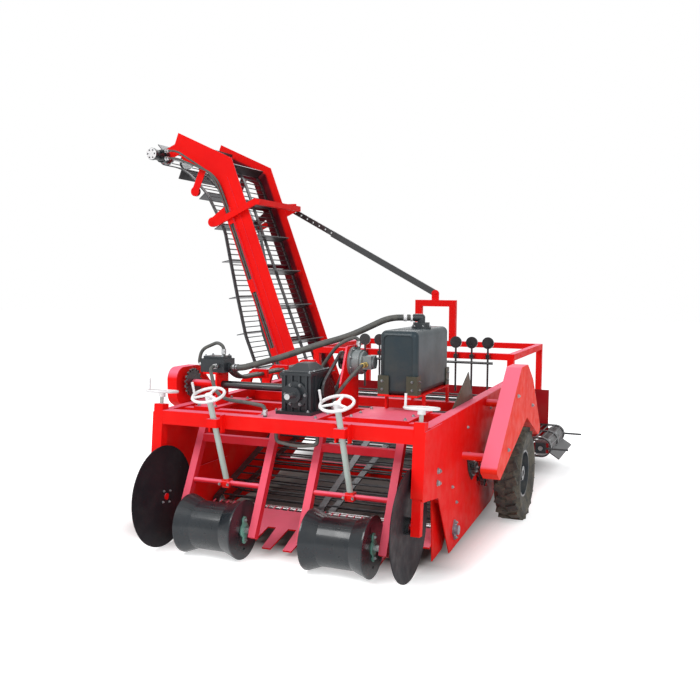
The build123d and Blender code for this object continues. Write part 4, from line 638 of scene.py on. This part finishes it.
# Chain tensioner's bracket on the right wall: outline as (y, z), bosses as (y, z, radius, height)

TENSIONER_OUTLINE = (
    (905, 545), (950, 535), (962, 470), (1005, 480), (1070, 470), (1088, 425), (1050, 362), (1005, 345),
    (962, 378), (920, 425), (898, 490),
)
TENSIONER_BOSSES = ((925, 500, 26, 24), (1035, 425, 34, 22), (985, 410, 18, 30))
TENSIONER_PLATE_BOLTS = ((930, 530), (1030, 375))
TENSIONER_FACE_X = FRAME_HALF + 9


def tensioner_bracket():
    bm = bmesh.new()
    inner, outer = [[bm.verts.new(at(x, y, z)) for y, z in TENSIONER_OUTLINE]
                    for x in (FRAME_HALF, TENSIONER_FACE_X)]
    bm.faces.new(outer)
    bm.faces.new(inner[::-1])
    skin(bm, (inner, outer))
    bmesh.ops.recalc_face_normals(bm, faces=bm.faces)
    soften(bm, list(bm.edges), bevel=2)
    places = []
    for y, z, radius, height in TENSIONER_BOSSES:
        stud(bm, (TENSIONER_FACE_X, y, z), TO_RIGHT, radius, height, sides=28, top=0.92)
        places.append(((TENSIONER_FACE_X + height, y, z), TO_RIGHT))
    piece("tensioner_bracket", bm, BLACK)
    bolts("tensioner_bolts", places + on_side(TENSIONER_FACE_X, TENSIONER_PLATE_BOLTS), size=8)


# Clamps round the feet of the spindles: half sizes of the block and of its two ears

FOOT_HALF = 28
FOOT_HALF_HEIGHT = 13
EAR_HALF = 9
EAR_HALF_HEIGHT = 11
EAR_BACK = 24
EAR_FRONT = 40


def foot_clamp(side, x):
    y, z = SPINDLE_FOOT
    bm = bmesh.new()
    slab(bm, (x - FOOT_HALF, y - FOOT_HALF, z - FOOT_HALF_HEIGHT),
         (x + FOOT_HALF, y + FOOT_HALF, z + FOOT_HALF_HEIGHT), bevel=3)
    ears = (x - FOOT_HALF, x + FOOT_HALF)
    for ear in ears:
        slab(bm, (ear - EAR_HALF, y - EAR_FRONT, z - EAR_HALF_HEIGHT),
             (ear + EAR_HALF, y - EAR_BACK, z + EAR_HALF_HEIGHT), bevel=2)
    piece(f"foot_clamp_{side}", bm, RED)
    bolts(f"foot_bolts_{side}", on_front(y - EAR_FRONT, [(ear, z) for ear in ears]), size=7)


# Ferrules at the ends of the thin hoses, as (middle, axis), and that of the second pump

FERRULES = (
    ((-600, 306, 1072), TO_REAR), ((-752, 400, 1072), TO_RIGHT), ((-595, 400, 1158), UPWARD),
    ((-117, 60, 850), UPWARD), ((-33, 532, 1000), TO_REAR), ((243, 600, 1222), UPWARD),
    ((170, 385, 852), UPWARD),
)
PUMP_FERRULE = (313, 512, 1100)
PUMP_FERRULE_NUT = (313, 536, 1100)
THIN_HOSE_RADIUS = 11.2


def ferrules():
    bm = bmesh.new()
    for middle, axis in FERRULES:
        band(bm, middle, axis, THIN_HOSE_RADIUS, width=34, thickness=3.5)
        band(bm, middle, axis, radius=14.5, width=8, thickness=2.5, sides=6)
    piece("hose_ferrules", bm, STEEL)
    bm = bmesh.new()
    band(bm, PUMP_FERRULE, TO_REAR, THIN_HOSE_RADIUS, width=62, thickness=4)
    band(bm, PUMP_FERRULE_NUT, TO_REAR, radius=15, width=10, thickness=3, sides=6)
    piece("pump_ferrule", bm, YELLOW)


# Bolts of the gearbox, the pumps and the deck

GEARBOX_FLANGE_BOLTS = grid((-88, 88), (200, 330, 460, 510))
GEARBOX_FLANGE_TOP = 842
GEARBOX_LID_BOLTS = grid((-84, 84), (232, 300, 430, 498))
GEARBOX_LID_TOP = 1067
INPUT_BOSS = (0, 211, 940)
INPUT_BOLT_CIRCLE = 64
PUMP_BOLTS = grid((-700, -580), (358, 442))
PUMP_TOP = 1130
SECOND_PUMP_FLANGE = (218, 600, 1110)
SECOND_PUMP_CIRCLE = 84
SECOND_PUMP_TURNS = range(22, 360, 45)
DECK_BOLTS = (
    grid((-170, 170), (130, 300, 560, 670)) + grid((-700, -580), (275, 500, 670))
    + grid((330, 660), (275, 420, 600))
)


def drive_bolts():
    gearbox = on_top(GEARBOX_FLANGE_TOP, GEARBOX_FLANGE_BOLTS) + on_top(GEARBOX_LID_TOP, GEARBOX_LID_BOLTS)
    gearbox = gearbox + circle(INPUT_BOSS, INPUT_BOLT_CIRCLE, SIX_AROUND, TO_FRONT)
    bolts("gearbox_bolts", gearbox, size=8)
    bolts("pump_bolts", on_top(PUMP_TOP, PUMP_BOLTS), size=7)
    flange = circle(SECOND_PUMP_FLANGE, SECOND_PUMP_CIRCLE, SECOND_PUMP_TURNS, TO_RIGHT)
    bolts("second_pump_bolts", flange, size=6)
    bolts("deck_bolts", on_top(DECK_TOP, DECK_BOLTS), size=9)


# Motor at the head of the boom, its end cover and hose ends, and the bolts in the boom's near plate

MOTOR_LENGTH = 215
MOTOR_COVER = 5
MOTOR_BOLT_CIRCLE = 38
MOTOR_PORT_Y = BOOM_NEAR_Y - 110
MOTOR_PORT_SHIFTS = (-34, 34)
MOTOR_HOSE_BANDS = ((92, 14), (114, 11))
BOOM_BOLTS = ((-1758, 1786), (-1516, 1180), (-1640, 1480), (-1400, 880))


def boom_motor():
    x, z = BOOM_HEAD
    face = BOOM_NEAR_Y - MOTOR_LENGTH
    bm = bmesh.new()
    stud(bm, (x, face, z), TO_FRONT, radius=54, height=6, sides=32, top=0.9)
    piece("motor_cover", bm, WHITE, body="boom")
    places = circle((x, face - MOTOR_COVER, z), MOTOR_BOLT_CIRCLE, SIX_AROUND, TO_FRONT)
    bolts("motor_bolts", places, size=6, body="boom", material=BLACK)
    bm = bmesh.new()
    for shift in MOTOR_PORT_SHIFTS:
        for reach, radius in MOTOR_HOSE_BANDS:
            band(bm, (x + reach, MOTOR_PORT_Y, z + shift), TO_RIGHT, radius, width=20, thickness=5)
    piece("motor_hose_ends", bm, STEEL, body="boom")
    bolts("boom_bolts", on_front(BOOM_NEAR_Y, BOOM_BOLTS), size=9, body="boom")


# Bands at the two ends of the thick hose, and the bolts of the tank's cap and brackets

THICK_HOSE_RADIUS = 20.5
HOSE_AT_PUMP = (-516, 400, 1060)
HOSE_AT_PUMP_END = (-496, 400, 1060)
HOSE_AT_TANK = (559.5, 860, 1379)
HOSE_INTO_TANK = Vector((0.922, 0.387, 0))
TANK_BAND = 62
TANK_SECOND_BAND = 40
CAP_BOLT_CIRCLE = 56
BRACKET_FRONT_Y = 524
BRACKET_SIDE_X = 648
BRACKET_ROWS = (960, 1010)


def thick_hose_ends():
    bm = bmesh.new()
    band(bm, HOSE_AT_PUMP, TO_RIGHT, THICK_HOSE_RADIUS, width=14, thickness=3)
    band(bm, HOSE_AT_PUMP_END, TO_RIGHT, THICK_HOSE_RADIUS, width=8, thickness=3)
    piece("hose_clamp_pump", bm, BOLT)
    mouth = Vector(HOSE_AT_TANK) - HOSE_INTO_TANK * TANK_BAND
    bm = bmesh.new()
    band(bm, mouth, HOSE_INTO_TANK, THICK_HOSE_RADIUS, width=14, thickness=4)
    second = mouth - HOSE_INTO_TANK * TANK_SECOND_BAND
    band(bm, second, HOSE_INTO_TANK, THICK_HOSE_RADIUS, width=22, thickness=3)
    piece("hose_clamp_tank", bm, WHITE)


def tank_bolts():
    bolts("cap_bolts", circle(TANK_CAP, CAP_BOLT_CIRCLE, SIX_AROUND, UPWARD), size=5)
    front = on_front(BRACKET_FRONT_Y, grid((425, 615), BRACKET_ROWS))
    bolts("bracket_bolts", front + on_side(BRACKET_SIDE_X, grid((558, 1162), BRACKET_ROWS)), size=7)


# Welds of the beams, the posts' sleeves and the rear frame, each from a point to a point

WELDS = (
    [((x, y, 753), (x, y, 811)) for x in (-789, 789) for y in (246, 304, 641, 699)]
    + [((x, 16, 742), (x, 94, 742)) for x in (-784, 784)]
    + [((x, y, 1000), (x, y, 1050)) for x in (-806, 806) for y in (2321, 3449)]
)


def welds():
    bm = bmesh.new()
    for start, end in WELDS:
        seam(bm, run(start, end), radius=3)
    piece("welds", bm, RED, sharp=60)


# Camera, turned by angles in radians

CAMERA_PLACE = (2192.48, -4191.86, 1603.85)
YAW, PITCH, ROLL = 0.39684, 0.081208, -0.005297
FOCAL_PIXELS = 844.8
PICTURE_PIXELS = 700
SENSOR_WIDTH = 36
CAMERA_REACH = 100


def add_camera():
    forward = Vector((-math.sin(YAW) * math.cos(PITCH), math.cos(YAW) * math.cos(PITCH), -math.sin(PITCH)))
    level = Vector((math.cos(YAW), math.sin(YAW), 0))
    upright = level.cross(forward)
    right = level * math.cos(ROLL) - upright * math.sin(ROLL)
    up = level * math.sin(ROLL) + upright * math.cos(ROLL)
    turn = Matrix((right, up, -forward)).transposed().to_4x4()
    camera = bpy.data.objects.new("camera", bpy.data.cameras.new("camera"))
    bpy.context.scene.collection.objects.link(camera)
    camera.matrix_world = Matrix.Translation(at(*CAMERA_PLACE)) @ turn
    camera.data.sensor_width = SENSOR_WIDTH
    camera.data.lens = FOCAL_PIXELS / PICTURE_PIXELS * SENSOR_WIDTH
    camera.data.clip_end = CAMERA_REACH
    bpy.context.scene.camera = camera


# Floor, with a painted shadow: a patch under the machine that stays dark

FLOOR_HALF = 30
FLOOR_LIFT = 0.55
# Corners of the painted shadow, the metres over which it fades, and its colour
PATCH_LOW = (-1050, 300, 0)
PATCH_HIGH = (740, 3350, 0)
PATCH_FADE = 0.35
PAINTED_SHADOW_COLOUR = (0.16, 0.15, 0.14)


def seen_directly(tree):
    """1 for a ray that the camera or a gloss sends, and 0 for the rays that light the machine."""
    path = tree.nodes.new("ShaderNodeLightPath")
    either = tree.nodes.new("ShaderNodeMath")
    either.operation = "MAXIMUM"
    tree.links.new(path.outputs["Is Camera Ray"], either.inputs[0])
    tree.links.new(path.outputs["Is Glossy Ray"], either.inputs[1])
    return either.outputs["Value"]


def painted_shadow_mask(n):
    """1 on the painted shadow under the machine, fading to 0 round it."""
    low, high = at(*PATCH_LOW), at(*PATCH_HIGH)
    masks = []
    for axis, start, end in (("X", low.x, high.x), ("Y", low.y, high.y)):
        half = (end - start) / 2
        from_middle = n.calculate("SUBTRACT", n.component(n.place, axis), (start + end) / 2)
        masks.append(n.ramp(n.calculate("ABSOLUTE", from_middle), half, half + PATCH_FADE, 1.0, 0.0))
    return n.times(*masks)


def floor_paint():
    """Pale paint with a painted shadow, dark under the machine, and lifted towards white where the open
    floor is seen.
    """
    n = Nodes("floor_paint")
    under = painted_shadow_mask(n)
    tone = n.mix(n.ramp(n.noise(0.8, 3.0), 0.3, 0.7), (0.90, 0.90, 0.90), (0.93, 0.93, 0.93))
    # Painted shadow: the floor goes dark under the machine
    tone = n.mix(under, tone, PAINTED_SHADOW_COLOUR)
    n.shader.inputs["Specular IOR Level"].default_value = 0.0
    lift = n.tree.nodes.new("ShaderNodeEmission")
    lift.inputs["Color"].default_value = (1, 1, 1, 1)
    open_floor = n.times(n.calculate("SUBTRACT", 1.0, under), FLOOR_LIFT)
    n.link(n.times(seen_directly(n.tree), open_floor), lift.inputs["Strength"])
    both = n.tree.nodes.new("ShaderNodeAddShader")
    n.link(n.shader.outputs["BSDF"], both.inputs[0])
    n.link(lift.outputs["Emission"], both.inputs[1])
    n.link(both.outputs["Shader"], n.tree.nodes["Material Output"].inputs["Surface"])
    return n.finish(tone, n.ramp(n.noise(4.0), 0.3, 0.7, 0.85, 0.95))


def add_floor():
    bm = bmesh.new()
    bmesh.ops.create_grid(bm, x_segments=8, y_segments=8, size=FLOOR_HALF)
    mesh = bpy.data.meshes.new("floor")
    bm.to_mesh(mesh)
    bm.free()
    floor = bpy.data.objects.new("floor", mesh)
    bpy.context.scene.collection.objects.link(floor)
    mesh.materials.append(floor_paint())


# World and lamps: a lamp's place is in millimetres and its size in metres

WORLD_COLOUR = (0.96, 0.98, 1.0, 1)
WORLD_STRENGTH = 0.56
LAMPS = (
    ("key", (-2500, -4500, 6500), 3.5, 360),
    ("fill", (4500, -3000, 3500), 4.0, 140),
    ("back", (-1500, 6500, 5500), 4.0, 150),
)
LAMP_TARGET = (0, 1400, 800)


def add_world():
    """Pale sky that lights the machine, and plain white where it is seen."""
    world = bpy.data.worlds.new("studio")
    bpy.context.scene.world = world
    world.use_nodes = True
    tree = world.node_tree
    background = tree.nodes["Background"]
    background.inputs["Color"].default_value = WORLD_COLOUR
    background.inputs["Strength"].default_value = WORLD_STRENGTH
    seen = tree.nodes.new("ShaderNodeBackground")
    seen.inputs["Color"].default_value = (1, 1, 1, 1)
    seen.inputs["Strength"].default_value = 1.0
    choice = tree.nodes.new("ShaderNodeMixShader")
    tree.links.new(seen_directly(tree), choice.inputs["Fac"])
    tree.links.new(background.outputs["Background"], choice.inputs[1])
    tree.links.new(seen.outputs["Background"], choice.inputs[2])
    tree.links.new(choice.outputs["Shader"], tree.nodes["World Output"].inputs["Surface"])


def add_lamps():
    for name, place, size, power in LAMPS:
        lamp = bpy.data.objects.new(name, bpy.data.lights.new(name, "AREA"))
        lamp.data.energy = power
        lamp.data.size = size
        bpy.context.scene.collection.objects.link(lamp)
        lamp.location = at(*place)
        lamp.rotation_mode = "QUATERNION"
        lamp.rotation_quaternion = (at(*LAMP_TARGET) - lamp.location).to_track_quat("-Z", "Y")


dress_nodes()
side_bolts()
turning_parts()
tensioner_bracket()
foot_clamp("left", -ROLLER_X)
foot_clamp("right", ROLLER_X)
ferrules()
drive_bolts()
boom_motor()
thick_hose_ends()
tank_bolts()
welds()
add_camera()
add_floor()
add_world()
add_lamps()
bpy.context.scene.view_settings.view_transform = "Standard"
